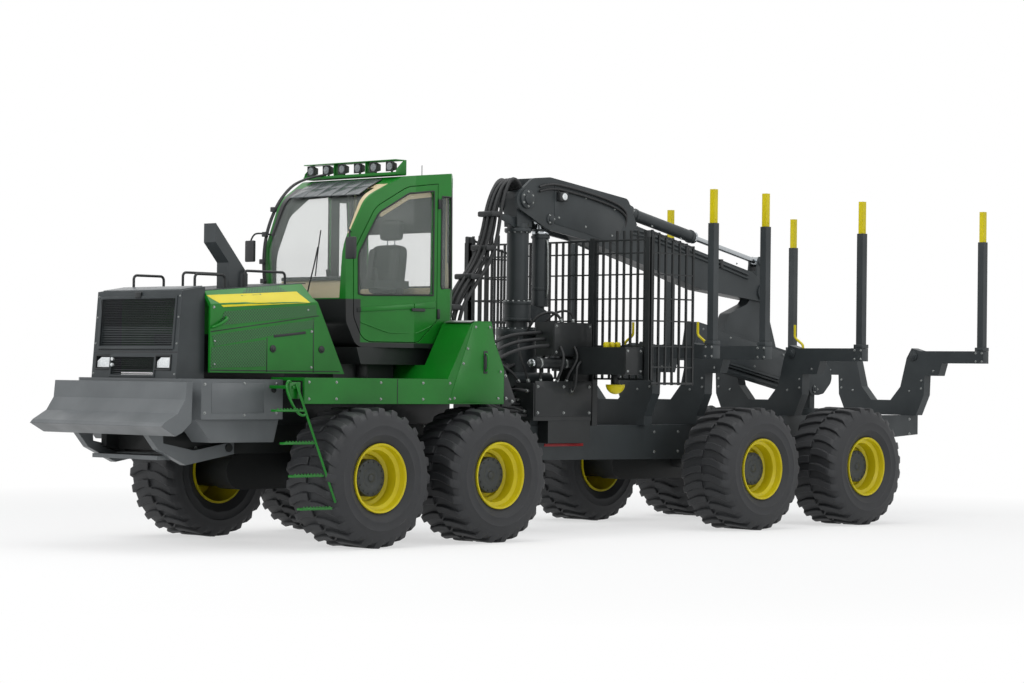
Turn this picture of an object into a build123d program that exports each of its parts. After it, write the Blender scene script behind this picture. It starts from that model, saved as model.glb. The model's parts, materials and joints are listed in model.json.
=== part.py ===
import os
from math import atan2, cos, degrees, hypot, pi, radians, sin

from build123d import *

os.makedirs("parts", exist_ok=True)

# Millimetres. X points forward, Y to the machine's left and Z up, from the ground below the middle.

# Wheels and bogies
tyre_radius = 680
tyre_width = 700
tread_depth = 34
rim_radius = 338
rim_width = 636
wheel_y = 1215
front_bogie_x = 3050
front_bogie_pitch = 1634
rear_bogie_x = -2835
rear_bogie_pitch = 1881
bogie_case_y = (560, 835)
bogie_case_radius = 185
stub_radius = 95
stub_end = 128  # past the wheel's middle plane
axle_z = 740
axle_radius = 120
running_gap = 0.4
seat_gap = 0.3

# Front frame
beam_y = (400, 480)
beam_bottom = 900
front_beam_top = 1230
frame_nose_x = 5690
hinge_x = 1100
hinge_pin_radius = 55
hinge_lug = 40
hinge_lug_z = (925, 1185)
hinge_barrel_radius = 150
steer_pin_y = 300
steer_front_x = 2050
steer_rear_x = 1060
steer_z = 1055
steer_barrel_radius = 55
steer_barrel_length = 640
steer_rod_length = 654
steer_ear = 40
steer_rod_radius = 32
steer_pin_radius = 28

# Blade
blade_arm_pivot = (4980, 960)
blade_arm_y = (500, 580)
blade_pin_radius = 40

# Nose, hood and cab
housing_x = (5350, 5690)
housing_lean = 68
housing_y = 651
housing_z = (1620, 2450)
housing_wall = 28
grille_bar = 16
hood_rear_x = (3735, 4100)
hood_z = (1680, 2590)
hood_front_top = 2455
hood_front_y = 735
hood_rear_y = 850
hood_wall = 25
nose_y = 950
nose_z = (1240, 1620)
deck_y = (760, 1250)
deck_x = (2600, 4610)
deck_z = (1392, 1642)
cowl_x = (1914, 2712)
cowl_y = 1250
cowl_top = 2230
wing_y = 830
cab_y = 800
cab_front_y = 610
cab_x = (2130, 3520)
cab_floor = 1950
pan_z = 1780
cab_top = 3750
cab_wall = 45
glass_depth = 18
glass_thick = 6
door_x = 2440
door_gap = 8

# Rear frame and load bed
rear_beam_y = (330, 450)
frame_top = 1150
frame_rear_top = 1250
frame_end_x = -6225
bunk_x = (-1081, -1971, -3722, -6120)
bunk_thick = 130
stake_y = 1474
stake_side = 84
stake_top = 3742
stake_tip = 370
stake_tip_side = 62
arm_z = (1895, 2045)
gate_x = -150
gate_y = 1410
gate_z = (1650, 3165)
gate_rise = 95
gate_bar = 22
gate_rod = 16

# Crane
column_x = 463
column_radius = 120
column_z = (2210, 3400)
boom_pin = (480, 3600)
cheek_y = (112, 150)
beam_half = 110
lift_foot = (110, 2330)
lift_pin = (110, 3400)
lift_barrel_radius = 92
lift_rod_radius = 45
jib_foot = (-1230, 3560)
jib_eye = (-3600, 3070)
jib_barrel_radius = 68
jib_rod_radius = 32
lift_pin_radius = 38
jib_pin_radius = 30
elbow_pin_radius = 55
lug_gap = 53
elbow = (-3583, 2700)
stick_start = (-2400, 2150)
stick_slope = 10.8
stick_length = 1781
stick_half = 100
stick_depth = 370
extension_half = 72
extension_depth = 250
extension_reach = (450, 2225)
extend_cylinder = (285, 1696, -245)  # start and end along the outer boom, height from its middle line
tip_centre = (2426, 16)
tip_pin = (-4620, 1560)
rotator_radius = 115
jaw_drop = 150


# Face on a plane, with its corners rounded where radii are given and its edge moved in by an inset
def face_on(plane, points, radii=None, inset=0):
    with BuildSketch(plane) as face:
        with BuildLine():
            if radii:
                FilletPolyline(*points, radius=radii, close=True)
            else:
                Polyline(*points, close=True)
        make_face()
        if inset:
            offset(amount=-inset, kind=Kind.INTERSECTION, mode=Mode.REPLACE)
    return face.sketch


# Solid between two corners
def block(x, y, z, mode=Mode.ADD):
    with Locations(((x[0] + x[1]) / 2, (y[0] + y[1]) / 2, (z[0] + z[1]) / 2)):
        Box(abs(x[1] - x[0]), abs(y[1] - y[0]), abs(z[1] - z[0]), mode=mode)


# Plate seen from the side: points are (x, z)
def side_plate(points, y, radii=None, mode=Mode.ADD):
    face = face_on(Plane.XZ.offset(-min(y)), points, radii)
    extrude(face, amount=-abs(y[1] - y[0]), mode=mode)


# Plate seen from above: points are (x, y)
def plan_plate(points, z, radii=None, mode=Mode.ADD):
    face = face_on(Plane.XY.offset(min(z)), points, radii)
    extrude(face, amount=abs(z[1] - z[0]), mode=mode)


# Plate seen from the front: points are (y, z)
def cross_plate(points, x, radii=None, mode=Mode.ADD):
    face = face_on(Plane.YZ.offset(min(x)), points, radii)
    extrude(face, amount=abs(x[1] - x[0]), mode=mode)


# Round bar from one point to another
def rod(start, end, radius, mode=Mode.ADD):
    along = Vector(*end) - Vector(*start)
    with BuildSketch(Plane(origin=start, z_dir=along)) as face:
        Circle(radius)
    extrude(face.sketch, amount=along.length, mode=mode)


# Pin or bore across the machine at (x, z)
def cross_pin(at, y, radius, mode=Mode.ADD):
    rod((at[0], min(y), at[1]), (at[0], max(y), at[1]), radius, mode)


# Bent tube along a route with its corners rounded
def tube(points, bend, radius):
    with BuildLine() as route:
        FilletPolyline(*points, radius=bend)
    path = route.line
    with BuildSketch(Plane(origin=path @ 0, z_dir=path % 0)) as face:
        Circle(radius)
    sweep(face.sketch, path=path)


# A span of Y on the left side, or its mirror on the right
def on_side(side, span):
    return (side * span[0], side * span[1])


def write(builder, label):
    builder.part.label = label
    export_step(builder.part, f"parts/{label}.step")


both_sides = (("left", 1), ("right", -1))
wheel_rows = (
    ("1", front_bogie_x + front_bogie_pitch / 2),
    ("2", front_bogie_x - front_bogie_pitch / 2),
    ("3", rear_bogie_x + rear_bogie_pitch / 2),
    ("4", rear_bogie_x - rear_bogie_pitch / 2),
)

# Tyre section: (across from the middle plane, radius)
half_tyre = tyre_width / 2
tyre_section = (
    (-300, rim_radius),
    (-half_tyre + 6, 420),
    (-half_tyre, 520),
    (-half_tyre + 22, 610),
    (-half_tyre + 70, tyre_radius),
    (half_tyre - 70, tyre_radius),
    (half_tyre - 22, 610),
    (half_tyre, 520),
    (half_tyre - 6, 420),
    (300, rim_radius),
)

# Rim section with its stepped dish and its closed hub: (outwards from the middle plane, radius)
half_rim = rim_width / 2
hub_bore = stub_radius + running_gap
rim_section = (
    (-half_rim, rim_radius),
    (half_rim, rim_radius),
    (half_rim, 316),
    (258, 306),
    (238, 272),
    (134, 262),
    (114, 228),
    (74, 222),
    (74, 140),
    (166, 122),
    (166, 0),
    (140, 0),
    (140, hub_bore),
    (46, hub_bore),
    (46, 246),
    (100, 254),
    (118, 290),
    (216, 300),
    (222, 316),
    (-half_rim, 316),
)

for row, x in wheel_rows:
    for name, side in both_sides:
        centre = (x, side * wheel_y, tyre_radius)
        section_plane = Plane(origin=centre, x_dir=(0, side, 0), z_dir=(side, 0, 0))
        spin_axis = Axis(centre, (0, 1, 0))
        with BuildPart() as tyre:
            revolve(face_on(section_plane, tyre_section), axis=spin_axis)
        write(tyre, f"tyre_{row}_{name}")
        with BuildPart() as rim:
            revolve(face_on(section_plane, rim_section), axis=spin_axis)
        write(rim, f"rim_{row}_{name}")


# Bogie axle: housing across the machine, a gear case on each side and a stub for each wheel
def bogie_axle(middle_x, pitch, pad_y):
    cross_pin((middle_x, axle_z), (-bogie_case_y[0] - 20, bogie_case_y[0] + 20), axle_radius)
    with Locations((middle_x, 0, axle_z)):
        Sphere(230)
    cross_pin((middle_x + 120, axle_z), (-60, 60), 150)
    for _, side in both_sides:
        with BuildSketch(Plane.XZ.offset(-side * bogie_case_y[0])) as case:
            with Locations((middle_x, tyre_radius)):
                SlotCenterToCenter(pitch, 2 * bogie_case_radius)
        extrude(case.sketch, amount=-side * (bogie_case_y[1] - bogie_case_y[0]))
        block(
            (middle_x - 130, middle_x + 130),
            on_side(side, pad_y),
            (axle_z, beam_bottom),
        )
        for wheel_x in (middle_x - pitch / 2, middle_x + pitch / 2):
            place = (wheel_x, tyre_radius)
            outer = wheel_y + stub_end
            cross_pin(place, on_side(side, (bogie_case_y[1] - 10, outer)), stub_radius)
            cross_pin(place, on_side(side, (bogie_case_y[1] - 10, wheel_y + 10)), 165)


with BuildPart() as front_axle:
    bogie_axle(front_bogie_x, front_bogie_pitch, beam_y)
write(front_axle, "front_axle")

with BuildPart() as rear_axle:
    bogie_axle(rear_bogie_x, rear_bogie_pitch, rear_beam_y)
write(rear_axle, "rear_axle")

# Front frame: two beams, belly, cross members and the hinge's lugs with their pin
front_beam = (
    (1560, beam_bottom),
    (1560, 1150),
    (1900, front_beam_top),
    (5350, front_beam_top),
    (frame_nose_x, 1120),
    (frame_nose_x, 960),
    (5500, beam_bottom),
)
with BuildPart() as front_frame:
    for _, side in both_sides:
        side_plate(front_beam, on_side(side, beam_y))
    inside = (-beam_y[0] - 10, beam_y[0] + 10)
    for x in (2500, 3550, 4450, 5480):
        block((x, x + 60), inside, (beam_bottom + 30, front_beam_top - 20))
    block((4020, 5460), inside, (beam_bottom + 5, beam_bottom + 25))
    for z in hinge_lug_z:
        lug_y = beam_y[0] + 30
        lug_points = (
            (2200, lug_y),
            (1700, lug_y),
            (1570, beam_y[0] - 20),
            (hinge_x - 60, 110),
            (hinge_x - 60, -110),
            (1570, -beam_y[0] + 20),
            (1700, -lug_y),
            (2200, -lug_y),
        )
        plan_plate(lug_points, (z - hinge_lug / 2, z + hinge_lug / 2), (0, 20, 60, 90, 90, 60, 20, 0))
    rod(
        (hinge_x, 0, hinge_lug_z[0] - 45),
        (hinge_x, 0, hinge_lug_z[1] + 45),
        hinge_pin_radius,
    )
    for _, side in both_sides:
        cross_pin(blade_arm_pivot, on_side(side, (beam_y[1] - 5, blade_arm_y[1] + 15)), blade_pin_radius)
        steer_y = side * steer_pin_y
        rod(
            (steer_front_x, steer_y, hinge_lug_z[0]),
            (steer_front_x, steer_y, hinge_lug_z[1]),
            steer_pin_radius,
        )
write(front_frame, "front_frame")

with BuildPart() as engine_block:
    block((4080, 5180), (-330, 330), (front_beam_top, 2050))
    for x in (4200, 4950):
        block((x, x + 100), (-beam_y[1], beam_y[1]), (front_beam_top, front_beam_top + 40))
write(engine_block, "engine_block")

# Nose body: full width behind the blade, with a pod back along each side
with BuildPart() as nose_body:
    nose_points = (
        (5736, 780),
        (5736, -780),
        (5620, -nose_y),
        (4620, -nose_y),
        (4620, -beam_y[1] - 20),
        (5230, -beam_y[1] - 20),
        (5230, beam_y[1] + 20),
        (4620, beam_y[1] + 20),
        (4620, nose_y),
        (5620, nose_y),
    )
    plan_plate(nose_points, nose_z)
    for _, side in both_sides:
        pod = ((4680, 1020), (4620, nose_z[0]), (5650, nose_z[0]), (5450, 1020))
        side_plate(pod, on_side(side, (blade_arm_y[1] + 25, nose_y - 60)))
write(nose_body, "nose_body")

# Grille housing: leaning shell with two grille windows and two lamp openings, and the grilles' bars
housing_front = (
    (housing_x[0], housing_z[0]),
    (housing_x[1], housing_z[0]),
    (housing_x[1] - housing_lean, housing_z[1]),
    (housing_x[0], housing_z[1] + 45),
)
inner_front = (
    (housing_x[0] - 10, housing_z[0] + housing_wall),
    (housing_x[1] - housing_wall, housing_z[0] + housing_wall),
    (housing_x[1] - housing_lean - housing_wall, housing_z[1] - housing_wall),
    (housing_x[0] - 10, housing_z[1] + 45 - housing_wall),
)
# Windows in the front: (half width, lowest Z, highest Z, middle Y, bars across)
upper_grille = (560, 1925, 2375, 0, 27)
lower_grille = (330, 1650, 1820, -20, 9)
lamp_openings = ((105, 1712, 1826, 445, 0), (105, 1712, 1826, -480, 0))
with BuildPart() as grille_housing:
    side_plate(housing_front, (-housing_y, housing_y))
    inner_y = housing_y - housing_wall
    side_plate(inner_front, (-inner_y, inner_y), mode=Mode.SUBTRACT)
    for half, low, high, middle, bars in (upper_grille, lower_grille, *lamp_openings):
        window_x = (housing_x[1] - housing_lean - 2 * housing_wall, housing_x[1] + 1)
        block(window_x, (middle - half, middle + half), (low, high), mode=Mode.SUBTRACT)
    for half, low, high, middle, bars in (upper_grille, lower_grille):
        back_x = housing_x[1] - housing_lean - housing_wall
        for count in range(bars):
            z = low + (count + 0.5) * (high - low) / bars
            lean_x = housing_x[1] - housing_lean * (z - housing_z[0]) / (housing_z[1] - housing_z[0])
            bar_x = (lean_x - housing_wall, lean_x - housing_wall + 8)
            bar_z = (z - grille_bar / 4, z + grille_bar / 4)
            block(bar_x, (middle - half, middle + half), bar_z)
write(grille_housing, "grille_housing")

# Hood: tapered shell, open below, with its rear end cut to a slope
hood_front = (
    (-hood_front_y, hood_z[0]),
    (-hood_front_y, 2330),
    (-hood_front_y + 90, hood_front_top),
    (hood_front_y - 90, hood_front_top),
    (hood_front_y, 2330),
    (hood_front_y, hood_z[0]),
)
hood_rear = (
    (-hood_rear_y, hood_z[0]),
    (-hood_rear_y, 2390),
    (-hood_rear_y + 260, hood_z[1]),
    (hood_rear_y - 260, hood_z[1]),
    (hood_rear_y, 2390),
    (hood_rear_y, hood_z[0]),
)


# The hood's section moved in by a wall, and down below its open bottom
def inset_section(points, wall):
    return [(y - wall * (1 if y > 0 else -1), z - wall * (1 if z > hood_z[0] else 2)) for y, z in points]


with BuildPart() as hood:
    for wall, mode in ((0, Mode.ADD), (hood_wall, Mode.SUBTRACT)):
        ends = ((housing_x[0] - seat_gap + wall / 25, hood_front), (hood_rear_x[0] - wall, hood_rear))
        faces = [face_on(Plane.YZ.offset(x), inset_section(points, wall)) for x, points in ends]
        loft(faces, mode=mode)
    slope = (
        (hood_rear_x[1], 2420),
        (hood_rear_x[0] + 5, hood_z[0] - 5),
        (hood_rear_x[0] - 100, hood_z[0] - 5),
        (hood_rear_x[0] - 100, 2700),
        (hood_rear_x[1], 2700),
    )
    side_plate(slope, (-1000, 1000), mode=Mode.SUBTRACT)
write(hood, "hood")

# Height of the hood's top over a place along it
def hood_top(x):
    share = (hood_rear_x[0] - x) / (hood_rear_x[0] - housing_x[0])
    return hood_z[1] + (hood_front_top - hood_z[1]) * share


# Exhaust stack: cut off at a slant, leaning forward
with BuildPart() as exhaust_stack:
    stack = (
        (4880, hood_top(4880) + 0.3),
        (4640, hood_top(4640) + 0.3),
        (4640, 2640),
        (5046, 3118),
        (5046, 2935),
        (4880, 2745),
    )
    side_plate(stack, (250, 430))
write(exhaust_stack, "exhaust_stack")

# Handrails along the top of the hood: rear X, front X, height
with BuildPart() as hood_rails:
    for _, side in both_sides:
        for back, front, top in ((4200, 4720, 2670), (4960, 5330, 2620)):
            y = side * 470
            back_foot = (back, y, hood_top(back) + 1.4)
            front_foot = (front, y, hood_top(front) + 1.4)
            route = (back_foot, (back, y, top), (front, y, top), front_foot)
            tube(route, 40, 13)
write(hood_rails, "hood_rails")

# Side decks over the front wheels: tread plate with a skirt
with BuildPart() as side_decks:
    for _, side in both_sides:
        angle = (
            (side * deck_y[0], deck_z[1] - 30),
            (side * deck_y[0], deck_z[1]),
            (side * deck_y[1], deck_z[1]),
            (side * deck_y[1], deck_z[0]),
            (side * (deck_y[1] - 25), deck_z[0]),
            (side * (deck_y[1] - 25), deck_z[1] - 30),
        )
        cross_plate(angle, deck_x)
write(side_decks, "side_decks")

# Cowl behind the cab, across the machine
with BuildPart() as rear_cowl:
    cowl = (
        (cowl_x[1], deck_z[1]),
        (2390, 2200),
        (2330, cowl_top),
        (2105, cowl_top),
        (2060, 2040),
        (cowl_x[0], 1750),
        (cowl_x[0], deck_z[0]),
        (deck_x[0] - 2, deck_z[0]),
        (deck_x[0] - 2, deck_z[1]),
    )
    side_plate(cowl, (-cowl_y, cowl_y))
    block((cowl_x[0] - 1, cowl_x[1] + 1), (-wing_y, wing_y), (pan_z - seat_gap, cowl_top + 1), mode=Mode.SUBTRACT)
    wing_inside = (
        (2560, 1560),
        (2330, 2140),
        (2150, 2140),
        (1970, 1720),
        (1970, deck_z[0] - 5),
        (2560, deck_z[0] - 5),
    )
    for _, side in both_sides:
        side_plate(wing_inside, on_side(side, (wing_y + 30, cowl_y - 30)), mode=Mode.SUBTRACT)
    block((1970, 2560), (-wing_y - 31, wing_y + 31), (deck_z[0] - 1, 1745), mode=Mode.SUBTRACT)
write(rear_cowl, "rear_cowl")

# Ladder in front of the left wheel: (X of the rear stringer, Y, Z) at its top and foot
ladder_top = (4730, 1285, 1560)
ladder_foot = (4535, 1550, 400)
ladder_width = 385
with BuildPart() as ladder:
    for shift in (0, ladder_width):
        start = (ladder_top[0] + shift, *ladder_top[1:])
        end = (ladder_foot[0] + shift, *ladder_foot[1:])
        rod(start, end, 20)
    for step in range(4):
        share = (step + 0.75) / 3.78
        x, y, z = (a + (b - a) * share for a, b in zip(ladder_top, ladder_foot))
        block((x, x + ladder_width), (y - 55, y + 20), (z - 14, z + 14))
    for shift in (0, ladder_width):
        start = (ladder_top[0] + shift, nose_y, ladder_top[2])
        rod(start, (ladder_top[0] + shift, ladder_top[1], ladder_top[2]), 16)
write(ladder, "ladder")

# Cab base: pedestal on the frame and the black pan below the floor
with BuildPart() as cab_base:
    block((2740, 3560), (-480, 480), (front_beam_top, pan_z))
    pan = ((2250, pan_z), (3380, pan_z), (3440, cab_floor), (2200, cab_floor))
    side_plate(pan, (-690, 690))
write(cab_base, "cab_base")

# Cab body: side profile times plan, both moved in by an inset
cab_profile = (
    (2200, cab_floor),
    (3400, cab_floor),
    (cab_x[1], 2200),
    (cab_x[1] + 20, 2950),
    (3300, 3460),
    (2900, 3680),
    (2180, cab_top),
    (cab_x[0], 2550),
)
cab_radii = (60, 120, 200, 420, 300, 200, 60, 60)
cab_plan = (
    (cab_x[0], 700),
    (2260, cab_y),
    (2760, cab_y),
    (cab_x[1] + 30, cab_front_y),
    (cab_x[1] + 30, -cab_front_y),
    (2760, -cab_y),
    (2260, -cab_y),
    (cab_x[0], -700),
)


def cab_volume(inset):
    side_face = face_on(Plane.XZ.offset(cab_y + 10), cab_profile, cab_radii, inset)
    extrude(side_face, amount=-2 * (cab_y + 10))
    top_face = face_on(Plane.XY.offset(cab_floor - 100), cab_plan, None, inset)
    extrude(top_face, amount=cab_top - cab_floor + 200, mode=Mode.INTERSECT)


door_outline = (
    (door_x, 2230),
    (2700, 2002),
    (3330, 2002),
    (3440, 2250),
    (3450, 2900),
    (3210, 3360),
    (2850, 3580),
    (door_x, 3630),
)
door_radii = (0, 120, 160, 200, 420, 260, 260, 0)
side_window = (
    (door_x + 60, 2490),
    (3385, 2470),
    (3390, 2880),
    (3170, 3300),
    (2830, 3510),
    (door_x + 60, 3550),
)
side_window_radii = (50, 60, 380, 240, 240, 50)
quarter_window = ((2215, 2560), (2390, 2560), (2390, 3500), (2250, 3500))
windscreen = ((-520, 2440), (520, 2440), (575, 2950), (575, 3560), (-575, 3560), (-575, 2950))
rear_window = ((-560, 2600), (560, 2600), (560, 3480), (-560, 3480))
left_span = (450, 900)
right_span = (-900, -450)

with BuildPart() as cab_hollow:
    cab_volume(cab_wall)

with BuildPart() as glass_outer:
    cab_volume(glass_depth)

with BuildPart() as glass_inner:
    cab_volume(glass_depth + glass_thick)


# Everything that the cab's windows cut, apart from the door
def window_prisms(mode):
    side_plate(side_window, right_span, side_window_radii, mode=mode)
    for span in (left_span, right_span):
        side_plate(quarter_window, span, mode=mode)
    cross_plate(windscreen, (3000, 3700), mode=mode)
    cross_plate(rear_window, (2000, 2200), mode=mode)


with BuildPart() as cab_shell:
    cab_volume(0)
    add(cab_hollow.part, mode=Mode.SUBTRACT)
    side_plate(door_outline, left_span, door_radii, mode=Mode.SUBTRACT)
    window_prisms(Mode.SUBTRACT)
write(cab_shell, "cab_shell")

with BuildPart() as window_space:
    window_prisms(Mode.ADD)

with BuildPart() as cab_glass:
    add(glass_outer.part)
    add(glass_inner.part, mode=Mode.SUBTRACT)
    add(window_space.part, mode=Mode.INTERSECT)
write(cab_glass, "cab_glass")

with BuildPart() as door_frame:
    cab_volume(0)
    add(cab_hollow.part, mode=Mode.SUBTRACT)
    door_face = face_on(Plane.XZ.offset(-left_span[0]), door_outline, door_radii, door_gap)
    extrude(door_face, amount=-(left_span[1] - left_span[0]), mode=Mode.INTERSECT)
    side_plate(side_window, left_span, side_window_radii, mode=Mode.SUBTRACT)
write(door_frame, "door_frame")

with BuildPart() as door_glass:
    add(glass_outer.part)
    add(glass_inner.part, mode=Mode.SUBTRACT)
    side_plate(side_window, left_span, side_window_radii, mode=Mode.INTERSECT)
write(door_glass, "door_glass")

# Seat with its pedestal, and the consoles on its arms
floor_top = cab_floor + cab_wall
with BuildPart() as seat:
    rod((2600, 0, floor_top), (2600, 0, 2360), 90)
    side_plate(((2340, 2360), (2880, 2360), (2900, 2500), (2360, 2500)), (-260, 260), (30, 30, 50, 30))
    side_plate(((2360, 2500), (2490, 2500), (2400, 3020), (2300, 3020)), (-240, 240), (20, 20, 40, 40))
    side_plate(((2310, 3060), (2390, 3060), (2370, 3290), (2290, 3290)), (-150, 150), (25, 25, 35, 35))
    block((2325, 2365), (-60, 60), (3000, 3080))
write(seat, "seat")

with BuildPart() as console:
    for _, side in both_sides:
        block((2480, 2960), on_side(side, (300, 420)), (2560, 2640))
        block((2500, 2600), on_side(side, (300, 360)), (floor_top, 2560))
        rod((2880, side * 360, 2640), (2900, side * 360, 2760), 22)
    block((3180, 3300), (-200, 200), (floor_top, 2420))
write(console, "console")

# Lamps: the roof bar's row, two in the grille housing and two at the cab's rear
with BuildPart() as lamps:
    for y in (-600, -360, -120, 120, 360, 600):
        rod((2848, y, 3805), (2950, y, 3795), 52)
    block((2800, 2850), (-700, 700), (3690, 3850))
    for half, low, high, middle, bars in lamp_openings:
        block((housing_x[1] - 48, housing_x[1] - 18), (middle - half, middle + half), (low, high))
write(lamps, "lamps")

# Blade: curved mouldboard on a carrier, with two arms back to the frame
blade_y = 1020
blade_profile = (
    (5782, 1590),
    (5792, 1215),
    (5900, 1120),
    (5978, 1087),
    (6144, 1175),
    (6110, 1210),
    (5951, 1300),
    (5866, 1427),
    (5850, 1590),
)
with BuildPart() as blade:
    side_plate(blade_profile, (-blade_y, blade_y))
    arm = (
        (blade_arm_pivot[0] - 70, blade_arm_pivot[1] - 60),
        (5500, 800),
        (5830, 950),
        (5960, 1100),
        (5800, 1215),
        (5790, 1235),
        (5770, 1010),
        (5400, 940),
        (blade_arm_pivot[0] - 70, blade_arm_pivot[1] + 60),
    )
    for _, side in both_sides:
        side_plate(arm, on_side(side, blade_arm_y))
        cross_pin(
            blade_arm_pivot,
            on_side(side, (blade_arm_y[0] - 1, blade_arm_y[1] + 1)),
            blade_pin_radius + running_gap,
            mode=Mode.SUBTRACT,
        )
    block((5480, 5780), (-blade_arm_y[0], blade_arm_y[0]), (850, 890))
write(blade, "blade")

# Rear frame: two beams, the hinge barrel with its arms to the steering cylinders and the cross members
rear_beam = (
    (850, 1120),
    (850, beam_bottom),
    (600, 780),
    (-2400, 760),
    (-2560, beam_bottom),
    (-3110, beam_bottom),
    (-3260, 830),
    (frame_end_x, 1010),
    (frame_end_x, frame_rear_top),
    (-3300, frame_rear_top),
    (-2600, frame_top),
    (780, frame_top),
)
inner_y = (-rear_beam_y[0], rear_beam_y[0])
with BuildPart() as rear_frame:
    for _, side in both_sides:
        side_plate(rear_beam, on_side(side, rear_beam_y))
    for x in (560, -700, -1971, -3722):
        block((x - 40, x + 40), inner_y, (930, frame_top - 10))
    block((frame_end_x, frame_end_x + 80), inner_y, (1010, 1200))
    block((500, 850), inner_y, (930, 960))
    block((500, 850), inner_y, (1090, 1120))
    barrel_z = (hinge_lug_z[0] + hinge_lug / 2 + 1, hinge_lug_z[1] - hinge_lug / 2 - 1)
    rod((hinge_x, 0, barrel_z[0]), (hinge_x, 0, barrel_z[1]), hinge_barrel_radius)
    block((700, hinge_x), (-120, 120), barrel_z)
    for low in (steer_z - 50 - steer_ear, steer_z + 50):
        arm_points = (
            (700, -330),
            (hinge_x - 10, -360),
            (hinge_x, -120),
            (hinge_x, 120),
            (hinge_x - 10, 360),
            (700, 330),
        )
        plan_plate(arm_points, (low, low + steer_ear))
    rod(
        (hinge_x, 0, barrel_z[0] - 5),
        (hinge_x, 0, barrel_z[1] + 5),
        hinge_pin_radius + running_gap,
        mode=Mode.SUBTRACT,
    )
write(rear_frame, "rear_frame")

# Steering cylinders, one on each side of the hinge
steer_length = steer_front_x - steer_rear_x
for name, side in both_sides:
    y = side * steer_pin_y
    with BuildPart() as steer_barrel:
        rod((steer_front_x, y, steer_z - 45), (steer_front_x, y, steer_z + 45), 55)
        barrel_end = steer_front_x - steer_barrel_length
        rod((steer_front_x - 40, y, steer_z), (barrel_end, y, steer_z), steer_barrel_radius)
        rod(
            (steer_front_x - 100, y, steer_z),
            (barrel_end - 1, y, steer_z),
            steer_rod_radius + running_gap,
            mode=Mode.SUBTRACT,
        )
        rod(
            (steer_front_x, y, steer_z - 50),
            (steer_front_x, y, steer_z + 50),
            steer_pin_radius + running_gap,
            mode=Mode.SUBTRACT,
        )
    write(steer_barrel, f"steering_barrel_{name}")
    with BuildPart() as steer_rod:
        rod((steer_rear_x, y, steer_z - 45), (steer_rear_x, y, steer_z + 45), 50)
        rod((steer_rear_x + 40, y, steer_z), (steer_rear_x + steer_rod_length, y, steer_z), steer_rod_radius)
    write(steer_rod, f"steering_rod_{name}")

# Bunk: a U between the wheels with an arm out to each stake: half outline as (y, z)
bunk_half = (
    (0, 1434),
    (150, 1434),
    (300, 1600),
    (395, 1960),
    (470, 2080),
    (600, arm_z[1]),
    (stake_y + stake_side / 2 + 12, arm_z[1]),
    (stake_y + stake_side / 2 + 12, arm_z[0]),
    (930, arm_z[0]),
    (880, 1740),
    (670, 1740),
    (660, 1500),
    (545, 1250),
)
bunk_radii = (0, 170, 120, 20, 20, 20, 0, 0, 40, 20, 20, 60, 0)
stakes_at = tuple((x, side) for x in bunk_x for _, side in both_sides)
with BuildPart() as bunks:
    for x in bunk_x:
        base_top = frame_rear_top if x < -3300 else frame_top
        right_half = tuple((-y, z) for y, z in reversed(bunk_half[1:]))
        outline_points = (*bunk_half[1:], (545, base_top), (-545, base_top), *right_half)
        if base_top == frame_rear_top:
            outline_points = (*bunk_half[1:], *right_half)
        cross_plate(outline_points, (x - bunk_thick / 2, x + bunk_thick / 2))
    for x, side in stakes_at:
        socket = stake_side / 2
        block(
            (x - socket, x + socket),
            on_side(side, (stake_y - socket, stake_y + socket)),
            arm_z,
            mode=Mode.SUBTRACT,
        )
write(bunks, "bunks")

with BuildPart() as stakes:
    for x, side in stakes_at:
        half = stake_side / 2
        block((x - half, x + half), on_side(side, (stake_y - half, stake_y + half)), (arm_z[0], stake_top - stake_tip))
write(stakes, "stakes")

with BuildPart() as stake_tips:
    for x, side in stakes_at:
        half = stake_tip_side / 2
        block((x - half, x + half), on_side(side, (stake_y - half, stake_y + half)), (stake_top - stake_tip, stake_top))
write(stake_tips, "stake_tips")

# Gate behind the crane: posts, close upright bars, rods across and a wing back on each side
with BuildPart() as gate:
    half = gate_bar / 2
    rods_z = (1793, 2016, 2287, 2526, 2787, 3015)
    for z in rods_z:
        block((gate_x - 8, gate_x + 8), (-gate_y, gate_y), (z - gate_rod / 2, z + gate_rod / 2))
        for _, side in both_sides:
            block(
                (gate_x - 680, gate_x),
                on_side(side, (gate_y - 8, gate_y + 8)),
                (z - gate_rod / 2, z + gate_rod / 2),
            )
    for z in (gate_z[0], gate_z[1] - 20):
        block((gate_x - 15, gate_x + 15), (-gate_y, gate_y), (z, z + 20))
    bars = 28
    for count in range(bars + 1):
        y = -gate_y + 2 * gate_y * count / bars
        top = gate_z[1] + (gate_rise if abs(y) > 900 else 0)
        block((gate_x - half, gate_x + half), (y - half, y + half), (gate_z[0], top))
    for _, side in both_sides:
        for y, width in ((570, 60), (gate_y - 30, 60)):
            block(
                (gate_x - 40, gate_x + 40),
                on_side(side, (y - width / 2, y + width / 2)),
                (frame_top if y < 600 else gate_z[0], gate_z[1] + 20),
            )
        for count in range(1, 7):
            x = gate_x - count * 112
            top = gate_z[1] + gate_rise - count * 25
            block((x - half, x + half), on_side(side, (gate_y - half, gate_y + half)), (1600, top))
        block((gate_x + 40, gate_x - 40), on_side(side, (450, 570)), (frame_top, frame_top + 60))
write(gate, "gate")

# Crane base with the slewing housing
with BuildPart() as crane_base:
    block((180, 695), (-325, 325), (frame_top, 1500))
    block((180, 695), (-440, 440), (frame_top, frame_top + 50))
    rod((column_x, 0, 1500), (column_x, 0, column_z[0] - seat_gap), 210)
    for _, side in both_sides:
        rod((180, side * 210, 1640), (745, side * 210, 1640), 80)
write(crane_base, "crane_base")

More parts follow.
